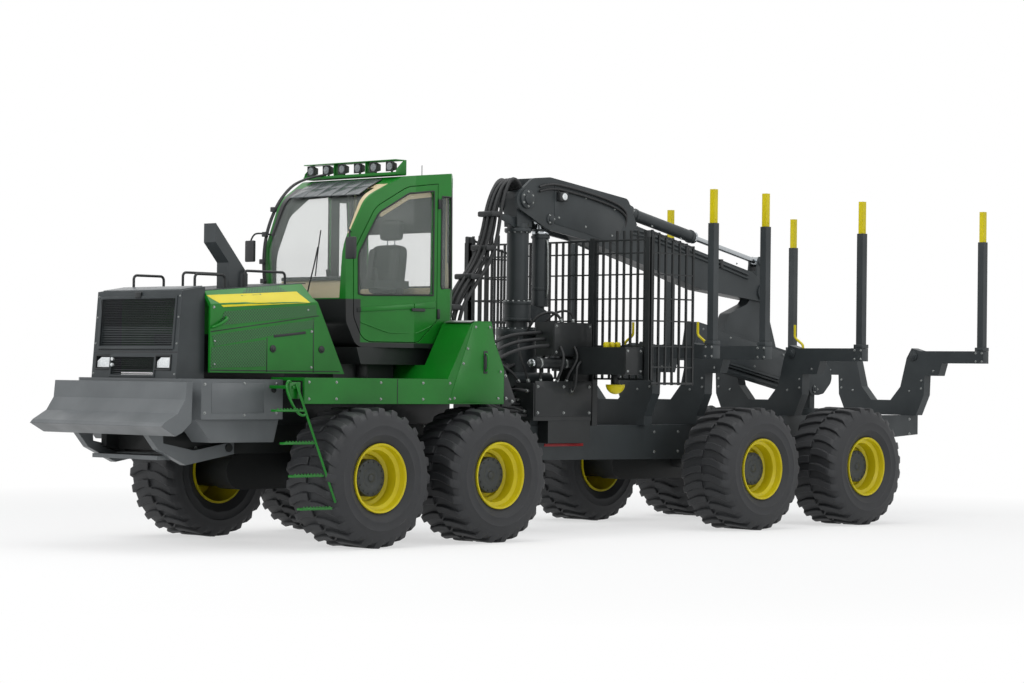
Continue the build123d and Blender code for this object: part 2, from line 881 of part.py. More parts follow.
# Hydraulic boxes and tanks round the crane's foot
with BuildPart() as hydraulic_boxes:
    block((-80, 820), (345, 610), (frame_top + 55, 1608))
    block((-95, 520), (345, 600), (1898, 2262))
    block((-95, 150), (345, 560), (1608, 1898))
    block((-95, 180), (560, 1340), (1705, 2000))
    rod((760, 545, 1820), (180, 545, 1820), 58)
    block((-80, 820), (-610, -345), (frame_top + 55, 1608))
    for _, side in both_sides:
        block((-80, 580), on_side(side, (rear_beam_y[1] + seat_gap, 600)), (965, frame_top + 55))
write(hydraulic_boxes, "hydraulic_boxes")

# Crane column: round post with a head for the boom's pin and a foot for the lift cylinder
with BuildPart() as crane_column:
    rod((column_x, 0, column_z[0]), (column_x, 0, column_z[1] - 60), column_radius)
    rod((column_x, 0, column_z[0] + 60), (column_x, 0, column_z[0] + 260), column_radius + 30)
    head = ((350, 3300), (575, 3300), (590, 3600), (540, 3700), (420, 3700), (350, 3600))
    side_plate(head, (-100, 100), (0, 0, 60, 60, 60, 60))
    foot = ((480, 2260), (150, 2270), (60, 2320), (60, 2380), (150, 2420), (480, 2480))
    for _, side in both_sides:
        side_plate(foot, on_side(side, (62, 92)))
    cross_pin(lift_foot, (-92, 92), 35)
    cross_pin(boom_pin, (-155, 155), 45)
write(crane_column, "crane_column")

# Main boom: two cheeks round the column's head, then a box beam down to the elbow
cheek = (
    (667, 3622),
    (391, 3832),
    (120, 3857),
    (-200, 3815),
    (-1147, 3685),
    (-1303, 3400),
    (-1000, 3060),
    (-463, 3195),
    (146, 3283),
    (600, 3490),
)
cheek_radii = (120, 150, 150, 300, 90, 0, 0, 200, 200, 100)
beam = (
    (-330, 3700),
    (-1100, 3560),
    (-1303, 3400),
    (-2498, 3133),
    (-3380, 2940),
    (-3690, 2780),
    (-3690, 2640),
    (-3600, 2590),
    (-3264, 2625),
    (-2505, 2703),
    (-463, 3200),
    (-330, 3280),
)
with BuildPart() as main_boom:
    for _, side in both_sides:
        side_plate(cheek, on_side(side, cheek_y), cheek_radii)
    side_plate(beam, (-beam_half - 2, beam_half + 2))
    block((elbow[0] + 235, elbow[0] - 230), (-82, 82), (2480, 3000), mode=Mode.SUBTRACT)
    for _, side in both_sides:
        eye = ((-1100, 3600), (-1100, 3500), (-1300, 3400), (-1310, 3590), (-1230, 3640))
        side_plate(eye, on_side(side, (55, 90)), (0, 0, 0, 40, 40))
    cross_pin(jib_foot, (-90, 90), jib_pin_radius)
    cross_pin(elbow, (-beam_half - 20, beam_half + 20), elbow_pin_radius)
    cross_pin(boom_pin, (-cheek_y[1] - 5, cheek_y[1] + 5), 45 + running_gap, mode=Mode.SUBTRACT)
write(main_boom, "main_boom")


# A hydraulic cylinder from its foot's pin to its rod's eye, both (x, z): barrel share, radii, eye widths
def unit_along(start, end):
    length = hypot(end[0] - start[0], end[1] - start[1])
    return ((end[0] - start[0]) / length, (end[1] - start[1]) / length), length


def on_line(start, along, distance):
    return (start[0] + along[0] * distance, 0, start[1] + along[1] * distance)


def barrel_solid(start, end, reach, radius, bore, pin):
    along, _ = unit_along(start, end)
    cross_pin(start, (-50, 50), pin + 28)
    rod(on_line(start, along, 20), on_line(start, along, 120), 46)
    rod(on_line(start, along, 112), on_line(start, along, reach), radius)
    rod(on_line(start, along, 150), on_line(start, along, reach + 5), bore + running_gap, mode=Mode.SUBTRACT)
    cross_pin(start, (-60, 60), pin + running_gap, mode=Mode.SUBTRACT)


def rod_solid(start, end, inside, radius, pin):
    along, length = unit_along(start, end)
    cross_pin(end, (-50, 50), pin + 28)
    rod(on_line(start, along, inside), on_line(start, along, length - 15), radius)
    cross_pin(end, (-60, 60), pin + running_gap, mode=Mode.SUBTRACT)


with BuildPart() as lift_barrel:
    barrel_solid(lift_foot, lift_pin, 960, lift_barrel_radius, lift_rod_radius, 35)
write(lift_barrel, "lift_barrel")

with BuildPart() as lift_rod:
    rod_solid(lift_foot, lift_pin, 180, lift_rod_radius, lift_pin_radius)
    cross_pin(lift_pin, (-cheek_y[0] + 6, cheek_y[0] - 6), lift_pin_radius + 2)
write(lift_rod, "lift_rod")

with BuildPart() as jib_barrel:
    barrel_solid(jib_foot, jib_eye, 1230, jib_barrel_radius, jib_rod_radius, jib_pin_radius)
write(jib_barrel, "jib_barrel")

with BuildPart() as jib_rod:
    rod_solid(jib_foot, jib_eye, 900, jib_rod_radius, jib_pin_radius)
    cross_pin(jib_eye, (-46, 46), jib_pin_radius + 2)
write(jib_rod, "jib_rod")

# Outer boom: box on a slope, hung from the elbow by a gusset that reaches up to the cylinder's eye
slope = radians(stick_slope)
stick_along = (-cos(slope), -sin(slope))
stick_up = (-sin(slope), cos(slope))


# Point at a distance along the outer boom and a height above its middle line
def on_stick(distance, height):
    return (
        stick_start[0] + stick_along[0] * distance + stick_up[0] * height,
        stick_start[1] + stick_along[1] * distance + stick_up[1] * height,
    )


def stick_box(start, end, low, high):
    return (on_stick(start, low), on_stick(end, low), on_stick(end, high), on_stick(start, high))


# Round bar along the outer boom at a height
def stick_rod(start, end, height, radius, mode=Mode.ADD):
    first, last = on_stick(start, height), on_stick(end, height)
    rod((first[0], 0, first[1]), (last[0], 0, last[1]), radius, mode)


half_stick = stick_depth / 2
half_extension = extension_depth / 2
cylinder_start, cylinder_end, cylinder_height = extend_cylinder
with BuildPart() as outer_boom:
    side_plate(stick_box(0, stick_length, -half_stick, half_stick), (-stick_half, stick_half))
    hollow = stick_box(extension_reach[0] - 3, stick_length + 1, -half_extension - 3, half_extension + 3)
    side_plate(hollow, (-extension_half - 3, extension_half + 3), mode=Mode.SUBTRACT)
    gusset = (
        on_stick(480, half_stick - 1),
        (-3020, 2440),
        (-3340, 2560),
        (-3470, 2700),
        (-3500, 2800),
        (-3535, 3060),
        (-3560, 3130),
        (-3640, 3130),
        (-3680, 3030),
        (-3700, 2700),
        (-3745, 2430),
        on_stick(1480, half_stick - 1),
    )
    side_plate(gusset, (-75, 75), (0, 60, 60, 40, 30, 20, 20, 20, 40, 60, 60, 0))
    notch_x = (jib_eye[0] + 115, jib_eye[0] - 115)
    notch_z = (jib_eye[1] - 110, jib_eye[1] + 120)
    block(notch_x, (-lug_gap, lug_gap), notch_z, mode=Mode.SUBTRACT)
    cross_pin(elbow, (-80, 80), elbow_pin_radius + running_gap, mode=Mode.SUBTRACT)
    for distance in (cylinder_start + 60, cylinder_end - 120):
        foot = stick_box(distance, distance + 60, cylinder_height, -half_stick)
        side_plate(foot, (-40, 40))
    stick_rod(cylinder_start, cylinder_end, cylinder_height, 46)
    stick_rod(cylinder_start + 60, cylinder_end + 1, cylinder_height, 28 + running_gap, mode=Mode.SUBTRACT)
write(outer_boom, "outer_boom")

with BuildPart() as extension:
    box = stick_box(*extension_reach, -half_extension, half_extension)
    side_plate(box, (-extension_half, extension_half))
    tip_plate = (
        on_stick(2130, half_extension),
        on_stick(tip_centre[0] + 60, tip_centre[1] + 190),
        on_stick(tip_centre[0] + 190, tip_centre[1]),
        on_stick(tip_centre[0] + 40, tip_centre[1] - 200),
        (tip_pin[0] - 70, tip_pin[1] - 70),
        (tip_pin[0] + 70, tip_pin[1] - 70),
        on_stick(2130, -half_extension),
    )
    for _, side in both_sides:
        plate_y = (extension_half - 0.5, extension_half + 18)
        side_plate(tip_plate, on_side(side, plate_y), (0, 130, 130, 60, 40, 50, 0))
    cross_pin(tip_pin, (-extension_half - 5, extension_half + 5), 30)
    stick_rod(cylinder_start + 365, 2120, cylinder_height, 28)
    side_plate(stick_box(2060, 2130, cylinder_height - 30, -half_extension + 1), (-40, 40))
write(extension, "extension")

# Rotator link hung from the tip, the grapple's head below it and two jaws
link_foot = tip_pin[1] - 230
with BuildPart() as tip_link:
    cross_pin(tip_pin, (-50, 50), 55)
    block((tip_pin[0] - 45, tip_pin[0] + 45), (-50, 50), (link_foot, tip_pin[1] - 30))
    cross_pin(tip_pin, (-55, 55), 30 + running_gap, mode=Mode.SUBTRACT)
write(tip_link, "tip_link")

head_z = (link_foot - 330, link_foot - 0.5)
jaw_pin_z = head_z[0] + 60
jaw_pin_x = 95
with BuildPart() as grapple_head:
    rod((tip_pin[0], 0, head_z[0] + 130), (tip_pin[0], 0, head_z[1]), rotator_radius)
    block((tip_pin[0] - 140, tip_pin[0] + 140), (-75, 75), (head_z[0], head_z[0] + 130))
    for x in (tip_pin[0] - jaw_pin_x, tip_pin[0] + jaw_pin_x):
        cross_pin((x, jaw_pin_z), (-130, 130), 25)
write(grapple_head, "grapple_head")

jaw_rows = (("front", 1), ("rear", -1))
for name, way in jaw_rows:
    pin = (tip_pin[0] + way * jaw_pin_x, jaw_pin_z)
    with BuildPart() as jaw:
        profile = (
            (pin[0] - way * 45, pin[1] + 50),
            (pin[0] + way * 60, pin[1] + 50),
            (pin[0] + way * 200, pin[1] - 120),
            (pin[0] + way * 190, pin[1] - 300),
            (tip_pin[0] + way * 6, pin[1] - 430),
            (tip_pin[0] + way * 6, pin[1] - 390),
            (pin[0] + way * 130, pin[1] - 270),
            (pin[0] + way * 130, pin[1] - 130),
            (pin[0] - way * 45, pin[1] - 50),
        )
        for _, side in both_sides:
            side_plate(profile, on_side(side, (80, 110)))
        for start, end in ((0.2, 0.5),):
            cross_pin((pin[0] + way * 160, pin[1] - 200), (-80, 80), 20)
        cross_pin(pin, (-140, 140), 25 + running_gap, mode=Mode.SUBTRACT)
    write(jaw, f"jaw_{name}")
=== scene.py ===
import json
import math

import bmesh
import bpy
from mathutils import Matrix, Vector


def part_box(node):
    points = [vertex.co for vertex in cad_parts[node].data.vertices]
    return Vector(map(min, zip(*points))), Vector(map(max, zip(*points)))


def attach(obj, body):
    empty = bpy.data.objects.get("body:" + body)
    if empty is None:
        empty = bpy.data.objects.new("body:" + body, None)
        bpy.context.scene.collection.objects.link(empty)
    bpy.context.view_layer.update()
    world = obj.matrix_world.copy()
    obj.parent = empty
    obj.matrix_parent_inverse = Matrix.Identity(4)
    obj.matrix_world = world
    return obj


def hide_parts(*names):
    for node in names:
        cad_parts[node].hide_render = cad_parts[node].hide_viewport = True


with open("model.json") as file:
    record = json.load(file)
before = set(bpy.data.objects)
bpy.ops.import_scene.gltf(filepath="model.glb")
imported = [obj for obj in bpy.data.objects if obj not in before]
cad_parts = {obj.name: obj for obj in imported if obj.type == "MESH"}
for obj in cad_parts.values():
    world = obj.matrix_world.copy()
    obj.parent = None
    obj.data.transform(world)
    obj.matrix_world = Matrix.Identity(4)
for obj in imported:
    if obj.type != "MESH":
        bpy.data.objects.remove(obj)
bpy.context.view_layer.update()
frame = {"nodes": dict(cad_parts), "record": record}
nodes = frame["nodes"]
print("frame loaded:", len(nodes), "nodes")

scene = bpy.context.scene
scene.view_settings.view_transform = "Standard"


# colours are written as the photo shows them
def linear(hexColour):
    value = hexColour.lstrip("#")
    channels = [int(value[i:i + 2], 16) / 255 for i in (0, 2, 4)]
    return [c / 12.92 if c <= 0.04045 else ((c + 0.055) / 1.055) ** 2.4 for c in channels] + [1.0]


def addNode(tree, kind, settings=None, inputs=None):
    node = tree.nodes.new(kind)
    for key, value in (settings or {}).items():
        setattr(node, key, value)
    for key, value in (inputs or {}).items():
        if isinstance(value, bpy.types.NodeSocket):
            tree.links.new(value, node.inputs[key])
        else:
            node.inputs[key].default_value = value
    return node


def startMaterial(name, **sockets):
    material = bpy.data.materials.new(name)
    material.use_nodes = True
    tree = material.node_tree
    tree.nodes.clear()
    shader = addNode(tree, "ShaderNodeBsdfPrincipled", None, sockets)
    addNode(tree, "ShaderNodeOutputMaterial", None, {"Surface": shader.outputs["BSDF"]})
    place = addNode(tree, "ShaderNodeTexCoord").outputs["Object"]
    return material, tree, shader, place


def mixColours(tree, factor, first, second):
    mix = addNode(tree, "ShaderNodeMix", {"data_type": "RGBA"}, {0: factor})
    for key, value in ((6, first), (7, second)):
        if isinstance(value, bpy.types.NodeSocket):
            tree.links.new(value, mix.inputs[key])
        else:
            mix.inputs[key].default_value = linear(value)
    return mix.outputs[2]


# mixes two colours into the shader's base colour
def setBase(tree, shader, factor, first, second):
    tree.links.new(mixColours(tree, factor, first, second), shader.inputs["Base Color"])


def mathNode(tree, operation, first, second=0.0):
    return addNode(tree, "ShaderNodeMath", {"operation": operation}, {0: first, 1: second}).outputs[0]


def rampNode(tree, value, start, end, low=0.0, high=1.0):
    return addNode(tree, "ShaderNodeMapRange", None, {"Value": value, "From Min": start, "From Max": end,
                                                      "To Min": low, "To Max": high}).outputs[0]


def noiseNode(tree, place, scale, detail):
    return addNode(tree, "ShaderNodeTexNoise", None,
                   {"Vector": place, "Scale": scale, "Detail": detail}).outputs["Fac"]


# 1 where a coordinate is over a limit, soft over a few millimetres
def overLimit(tree, value, limit, soft=0.004):
    return rampNode(tree, value, limit - soft, limit + soft)


# a relief, over edges that are rounded by a radius where one is given
def addRelief(tree, shader, height, strength, distance, edge=None):
    inputs = {"Strength": strength, "Distance": distance, "Height": height}
    if edge:
        inputs["Normal"] = addNode(tree, "ShaderNodeBevel", {"samples": 4}, {"Radius": edge}).outputs[0]
    bump = addNode(tree, "ShaderNodeBump", None, inputs)
    tree.links.new(bump.outputs[0], shader.inputs["Normal"])


paintLooks = {
    # two-pack enamel from a spray gun: deep green under clear gloss
    "greenEnamel": {"colour": "#0D741B", "shade": "#096615", "roughness": 0.34, "coat": 0.08},
    # satin chassis enamel on castings and weldments
    "greyChassisEnamel": {"colour": "#383D3F", "shade": "#2E3335", "roughness": 0.44, "coat": 0.04},
    # bodywork grey of the nose and blade, a shade lighter
    "greyBodyEnamel": {"colour": "#666A6C", "shade": "#5B5F61", "roughness": 0.38, "coat": 0.06},
    "blackChassisEnamel": {"colour": "#232627", "shade": "#1A1D1E", "roughness": 0.46, "coat": 0.1},
    "yellowEnamel": {"colour": "#D9C90E", "shade": "#CBBA08", "roughness": 0.36, "coat": 0.08},
    "redEnamel": {"colour": "#A3161C", "shade": "#861015", "roughness": 0.4, "coat": 0.2},
}


def makePaint(name, look):
    material, tree, shader, place = startMaterial(name, Roughness=look["roughness"])
    for socket, value in (("Coat Weight", look["coat"]), ("Coat Roughness", 0.1),
                          ("Specular IOR Level", 0.3)):
        shader.inputs[socket].default_value = value
    cloud = noiseNode(tree, place, 2.2, 4.0)
    base = mixColours(tree, rampNode(tree, cloud, 0.35, 0.7), look["colour"], look["shade"])
    # road dust of the yard, a thin film in patches low on the machine
    height = addNode(tree, "ShaderNodeSeparateXYZ", None, {0: place}).outputs["Z"]
    film = mathNode(tree, "MULTIPLY", rampNode(tree, height, 1.3, 0.2, 0.0, 0.12), cloud)
    setBase(tree, shader, film, base, "#6A655C")
    worn = rampNode(tree, cloud, 0.3, 0.75, look["roughness"] - 0.05, look["roughness"] + 0.09)
    tree.links.new(worn, shader.inputs["Roughness"])
    # orange peel: 4 mm cells, coarser than real so that it shows
    addRelief(tree, shader, noiseNode(tree, place, 250.0, 1.0), 0.04, 0.001, 0.005)
    return material


# rubber: matt black with a bloom in patches and a fine grain from the mould
def makeRubber(name, colour, shade):
    material, tree, shader, place = startMaterial(name, Roughness=0.62)
    setBase(tree, shader, noiseNode(tree, place, 7.0, 5.0), colour, shade)
    addRelief(tree, shader, noiseNode(tree, place, 160.0, 2.0), 0.12, 0.002, 0.008)
    return material


# bright metal: brushed streaks in colour and gloss
def makeMetal(name, colour, shade, roughness, scale):
    material, tree, shader, place = startMaterial(name, Metallic=1.0, Roughness=roughness)
    streak = noiseNode(tree, place, scale, 3.0)
    setBase(tree, shader, streak, colour, shade)
    tree.links.new(rampNode(tree, streak, 0.0, 1.0, roughness, roughness + 0.15),
                   shader.inputs["Roughness"])
    return material


# window glass: clear, with a faint film that gathers in clouds
def makeGlass(name, colour, shade, clear):
    material, tree, shader, place = startMaterial(name, Roughness=0.02, IOR=1.5, Alpha=clear)
    setBase(tree, shader, noiseNode(tree, place, 1.5, 2.0), colour, shade)
    return material


# cloth and grained plastic: cells of a real pitch in colour and bump
def makeSoftTrim(name, colour, shade, pitch, roughness, depth=0.3):
    material, tree, shader, place = startMaterial(name, Roughness=roughness)
    cell = addNode(tree, "ShaderNodeTexVoronoi", None,
                   {"Vector": place, "Scale": 1 / pitch}).outputs["Distance"]
    setBase(tree, shader, cell, shade, colour)
    addRelief(tree, shader, cell, depth, pitch / 3)
    return material


# punched sheet: round holes on a staggered pitch, shown as dark dots in the painted sheet
def makePunched(name, sheet, hole, pitch, share):
    material, tree, shader, place = startMaterial(name, Roughness=0.45)
    turned = addNode(tree, "ShaderNodeMapping", None,
                     {"Vector": place, "Rotation": (0.0, math.radians(45), 0.0), "Scale": (1.0, 0.0, 1.0)})
    cell = addNode(tree, "ShaderNodeTexVoronoi", None,
                   {"Vector": turned.outputs[0], "Scale": 1 / pitch, "Randomness": 0.0})
    dot = overLimit(tree, cell.outputs["Distance"], share, 0.06)
    setBase(tree, shader, dot, hole, sheet)
    addRelief(tree, shader, dot, 0.5, 0.002)
    return material


# the cab's steel body: green, with the black lower front and sill of the photo
def makeCabPaint(name, look):
    material = makePaint(name, look)
    tree = material.node_tree
    shader = next(n for n in tree.nodes if n.bl_idname == "ShaderNodeBsdfPrincipled")
    place = addNode(tree, "ShaderNodeTexCoord").outputs["Object"]
    x, y, z = addNode(tree, "ShaderNodeSeparateXYZ", None, {0: place}).outputs
    below, sill = (mathNode(tree, "SUBTRACT", 1.0, overLimit(tree, z, limit)) for limit in (2.43, 2.0))
    dark = mathNode(tree, "MAXIMUM", mathNode(tree, "MULTIPLY", overLimit(tree, x, 3.36), below), sill)
    # the inner faces are dark, and the front left pillar wears beige trim
    lining = mathNode(tree, "LESS_THAN", mathNode(tree, "ABSOLUTE", y),
                      rampNode(tree, x, 2.76, 3.55, 0.765, 0.575))
    for operation, axis, limit in (("LESS_THAN", x, 3.475), ("GREATER_THAN", x, 2.17),
                                   ("LESS_THAN", z, 3.6)):
        lining = mathNode(tree, "MULTIPLY", lining, mathNode(tree, operation, axis, limit))
    painted = shader.inputs["Base Color"].links[0].from_socket
    frontLeft = mathNode(tree, "MULTIPLY", overLimit(tree, y, 0.3), overLimit(tree, x, 2.8))
    toned = mixColours(tree, lining, painted, mixColours(tree, frontLeft, "#3C3B3E", "#CDBC96"))
    setBase(tree, shader, dark, toned, "#1E2021")
    return material


materials = {name: makePaint(name, look) for name, look in paintLooks.items()}
for make, looks in (
    (makeRubber, {
        "mouldedRubber": ("#1B1C1E", "#26282B"),
        # hose cover: black synthetic rubber with its wrapped weave showing as a fine grain
        "hoseRubber": ("#141516", "#202224")}),
    (makeMetal, {
        "hardChrome": ("#B9BDC0", "#A3A8AB", 0.16, 30.0),
        "zincPlate": ("#9A9D9C", "#7F8382", 0.32, 60.0)}),
    (makeGlass, {"temperedGlass": ("#AEB8B2", "#C3CCC6", 0.13)}),
    (makeSoftTrim, {
        "wovenSeatFabric": ("#2B2C2E", "#141516", 0.006, 0.85),
        "seatVinyl": ("#1D1E20", "#121314", 0.01, 0.5),
        "grainedAbs": ("#26282A", "#1C1E20", 0.004, 0.55),
        "beigeAbs": ("#D8C8A4", "#C4B18A", 0.004, 0.6),
        "frostedLens": ("#F2F4F4", "#D5DADC", 0.02, 0.12, 0.1),
        "smokedLens": ("#8E9496", "#5E6466", 0.02, 0.1, 0.1),
        "sunshadeAcrylic": ("#5C6163", "#505557", 0.02, 0.2, 0.05)}),
    (makePunched, {"punchedGreenSheet": ("#1A6A28", "#0C2A12", 0.022, 0.36)}),
    (makeCabPaint, {"cabEnamel": (paintLooks["greenEnamel"],)}),
):
    for name, look in looks.items():
        materials[name] = make(name, *look)

slotLooks = {
    "green_paint": "greenEnamel", "grey_paint": "greyChassisEnamel", "black_paint": "blackChassisEnamel",
    "yellow_paint": "yellowEnamel", "tyre_rubber": "mouldedRubber", "steel_rod": "hardChrome",
    "window_glass": "temperedGlass", "seat_fabric": "wovenSeatFabric", "trim_plastic": "grainedAbs",
    "lamp_lens": "frostedLens",
}
nodeLooks = {
    "cab_shell": "cabEnamel", "door_frame": "cabEnamel", "blade": "greyBodyEnamel",
    "nose_body": "greyBodyEnamel", "grille_housing": "greyChassisEnamel",
}
for part in frame["record"]["subparts"]:
    node = nodes[part["node"]]
    look = nodeLooks.get(part["node"], slotLooks[part["material_slot"]])
    node.data.materials.clear()
    node.data.materials.append(materials[look])
print("materials assigned")

sides = (("left", 1), ("right", -1))
front, rear = "front_chassis", "rear_chassis"
grey, black, green, yellow = "greyChassisEnamel", "blackChassisEnamel", "greenEnamel", "yellowEnamel"
bodyGrey, plastic, zinc, chrome, beige = "greyBodyEnamel", "grainedAbs", "zincPlate", "hardChrome", "beigeAbs"


def clearSelection():
    if bpy.context.object and bpy.context.object.mode != "OBJECT":
        bpy.ops.object.mode_set(mode="OBJECT")
    bpy.ops.object.select_all(action="DESELECT")


def applyPlace():
    bpy.ops.object.transform_apply(location=True, rotation=True, scale=True)


# in edit mode, selects the faces that a rule names
def chooseFaces(piece, rule):
    bpy.ops.object.mode_set(mode="EDIT")
    bpy.ops.mesh.select_mode(type="FACE")
    mesh = bmesh.from_edit_mesh(piece.data)
    for face in mesh.faces:
        face.select = bool(rule(face))
    mesh.select_flush_mode()
    bmesh.update_edit_mesh(piece.data)


# rules for chooseFaces: faces that look along a direction, or along it and back
def facing(*direction):
    return lambda face: face.normal.dot(Vector(direction)) > 0.9


def across(*direction):
    return lambda face: abs(face.normal.dot(Vector(direction))) > 0.9


def inset(*steps):
    for thickness, depth in steps:
        bpy.ops.mesh.inset(thickness=thickness, depth=depth)


def pull(*shifts):
    for shift in shifts:
        bpy.ops.mesh.extrude_region_move(TRANSFORM_OT_translate={"value": shift})


def useModifier(piece, kind, **settings):
    modifier = piece.modifiers.new(kind.lower(), kind)
    for key, value in settings.items():
        setattr(modifier, key, value)
    bpy.ops.object.modifier_apply(modifier=modifier.name)


# bevels the edges, puts the place into the mesh, and gives the piece its name, body and material
def settle(piece, name, body, material, bevel=0.004, segments=2, smooth=35):
    clearSelection()
    piece.select_set(True)
    bpy.context.view_layer.objects.active = piece
    applyPlace()
    if bevel:
        useModifier(piece, "BEVEL", width=bevel, segments=segments, limit_method="ANGLE",
                    angle_limit=math.radians(30))
    bpy.ops.object.shade_smooth_by_angle(angle=math.radians(smooth))
    piece.name = name
    piece.data.name = name
    piece.data.materials.clear()
    piece.data.materials.append(materials[material])
    if body:
        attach(piece, body)
    return piece


def startCube(middle, size, turn=(0, 0, 0)):
    clearSelection()
    bpy.ops.mesh.primitive_cube_add(size=1, location=middle)
    piece = bpy.context.object
    piece.scale, piece.rotation_euler = size, turn
    applyPlace()
    return piece


def addBlock(name, corners, body, material, bevel=0.004):
    low, high = corners
    piece = startCube([(a + b) / 2 for a, b in zip(low, high)], [abs(b - a) for a, b in zip(low, high)])
    return settle(piece, name, body, material, bevel)


# a round bar between two points, with a raised middle at its end where tip says how wide
def addBar(name, ends, radius, body, material, corners=24, bevel=0.003, tip=1.0):
    clearSelection()
    start, end = (Vector(point) for point in ends)
    along = end - start
    bpy.ops.mesh.primitive_cylinder_add(vertices=corners, radius=radius, depth=along.length,
                                        location=(start + end) / 2,
                                        rotation=along.to_track_quat("Z", "Y").to_euler())
    piece = bpy.context.object
    if tip != 1.0:
        chooseFaces(piece, facing(0, 0, 1))
        inset((radius * (1 - tip), 0.0))
        pull(along.normalized() * radius * 0.2)
    return settle(piece, name, body, material, bevel)


# a plate from its outline: a filled ring is moved point by point, laid onto a node where one is named,
# and thickened
def addPlate(name, outline, thick, body, material, bevel=0.003, cuts=0, onto=None):
    clearSelection()
    bpy.ops.mesh.primitive_circle_add(vertices=len(outline), radius=1, fill_type="NGON")
    piece = bpy.context.object
    bpy.ops.object.mode_set(mode="EDIT")
    bpy.ops.mesh.select_mode(type="VERT")
    for index, point in enumerate(outline):
        bpy.ops.mesh.select_all(action="DESELECT")
        mesh = bmesh.from_edit_mesh(piece.data)
        mesh.verts.ensure_lookup_table()
        mesh.verts[index].select_set(True)
        shift = Vector(point) - mesh.verts[index].co
        bmesh.update_edit_mesh(piece.data)
        bpy.ops.transform.translate(value=shift)
    bpy.ops.mesh.select_all(action="SELECT")
    if cuts:
        bpy.ops.mesh.subdivide(number_cuts=cuts)
    bpy.ops.object.mode_set(mode="OBJECT")
    if onto:
        useModifier(piece, "SHRINKWRAP", target=nodes[onto], wrap_method="NEAREST_SURFACEPOINT",
                    offset=0.001)
    useModifier(piece, "SOLIDIFY", thickness=thick, offset=0.0)
    return settle(piece, name, body, material, bevel)


def linkCopy(piece, turn):
    copy = piece.copy()
    copy.data = piece.data.copy()
    scene.collection.objects.link(copy)
    copy.data.transform(turn)
    return copy


def joinPieces(pieces, name):
    clearSelection()
    for piece in pieces:
        piece.select_set(True)
    bpy.context.view_layer.objects.active = pieces[0]
    bpy.ops.object.join()
    pieces[0].name = name
    pieces[0].data.name = name
    return pieces[0]


# hexagon bolts with a washer, pointing along a direction, in one piece
def addBolts(name, places, along, body, radius=0.011, material=zinc):
    clearSelection()
    bpy.ops.mesh.primitive_cylinder_add(vertices=6, radius=radius, depth=radius * 0.9,
                                        location=(0, 0, radius * 0.5))
    bolt = bpy.context.object
    chooseFaces(bolt, facing(0, 0, -1))
    pull((0, 0, 0))
    bpy.ops.transform.resize(value=(1.5, 1.5, 1.0), center_override=(0, 0, 0))
    pull((0, 0, -radius * 0.2))
    settle(bolt, "bolt", None, material, radius * 0.12, 1)
    turn = Vector(along).to_track_quat("Z", "Y").to_matrix().to_4x4()
    joined = joinPieces([linkCopy(bolt, Matrix.Translation(place) @ turn) for place in places], name)
    bpy.data.objects.remove(bolt)
    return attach(joined, body)


# a bent bar or pipe through its corners, which a curve rounds
def addPipe(name, route, radius, body, material, order=3, facets=4):
    path = bpy.data.curves.new(name, "CURVE")
    path.dimensions = "3D"
    path.bevel_depth, path.bevel_resolution, path.resolution_u = 1.0, facets, 8
    path.use_fill_caps = True
    spline = path.splines.new("NURBS")
    spline.points.add(len(route) - 1)
    for spot, point in zip(spline.points, route):
        spot.co = (*point, 1.0)
        # thickness is kept in the points, so that the curve's box is its own
        spot.radius = radius
    spline.order_u = order
    spline.use_endpoint_u = True
    piece = bpy.data.objects.new(name, path)
    scene.collection.objects.link(piece)
    path.materials.append(materials[material])
    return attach(piece, body)


# length of a curve as it is drawn, from the curve without its thickness
def runLength(piece):
    thick = piece.data.bevel_depth
    piece.data.bevel_depth = 0
    bpy.context.view_layer.update()
    line = bpy.data.meshes.new_from_object(piece.evaluated_get(bpy.context.evaluated_depsgraph_get()))
    places = [corner.co for corner in line.vertices]
    total = sum((places[e.vertices[0]] - places[e.vertices[1]]).length for e in line.edges)
    piece.data.bevel_depth = thick
    bpy.data.meshes.remove(line)
    return total


# a hydraulic hose along its route between its two ends, drawn in hose rubber
def addHose(name, route, diameter, body):
    piece = addPipe(name, route, diameter / 2, body, "hoseRubber")
    runLength(piece)


# points at one distance from the middle plane, from their places along and up
def atY(y, *spots):
    return [(x, y, z) for x, z in spots]


# a piece on the left and its mirror image on the right; a plate's outline turns over too, to face out
def addPair(make, name, points, *rest):
    for label, side in sides:
        placed = [(x, side * y, z) for x, y, z in points]
        make(f"{name}_{label}", placed[::side] if make is addPlate else placed, *rest)


def addSideBolts(name, places, body, radius=0.011, material=zinc):
    for label, side in sides:
        addBolts(f"{name}_{label}", [(x, side * y, z) for x, y, z in places], (0, side, 0), body, radius,
                 material)


# places on a circle, upright or flat
def circle(x, y, z, radius, count, flat=False, start=0.0):
    turns = [2 * math.pi * (n + start) / count for n in range(count)]
    if flat:
        return [(x + radius * math.cos(a), y + radius * math.sin(a), z) for a in turns]
    return [(x + radius * math.cos(a), y, z + radius * math.sin(a)) for a in turns]


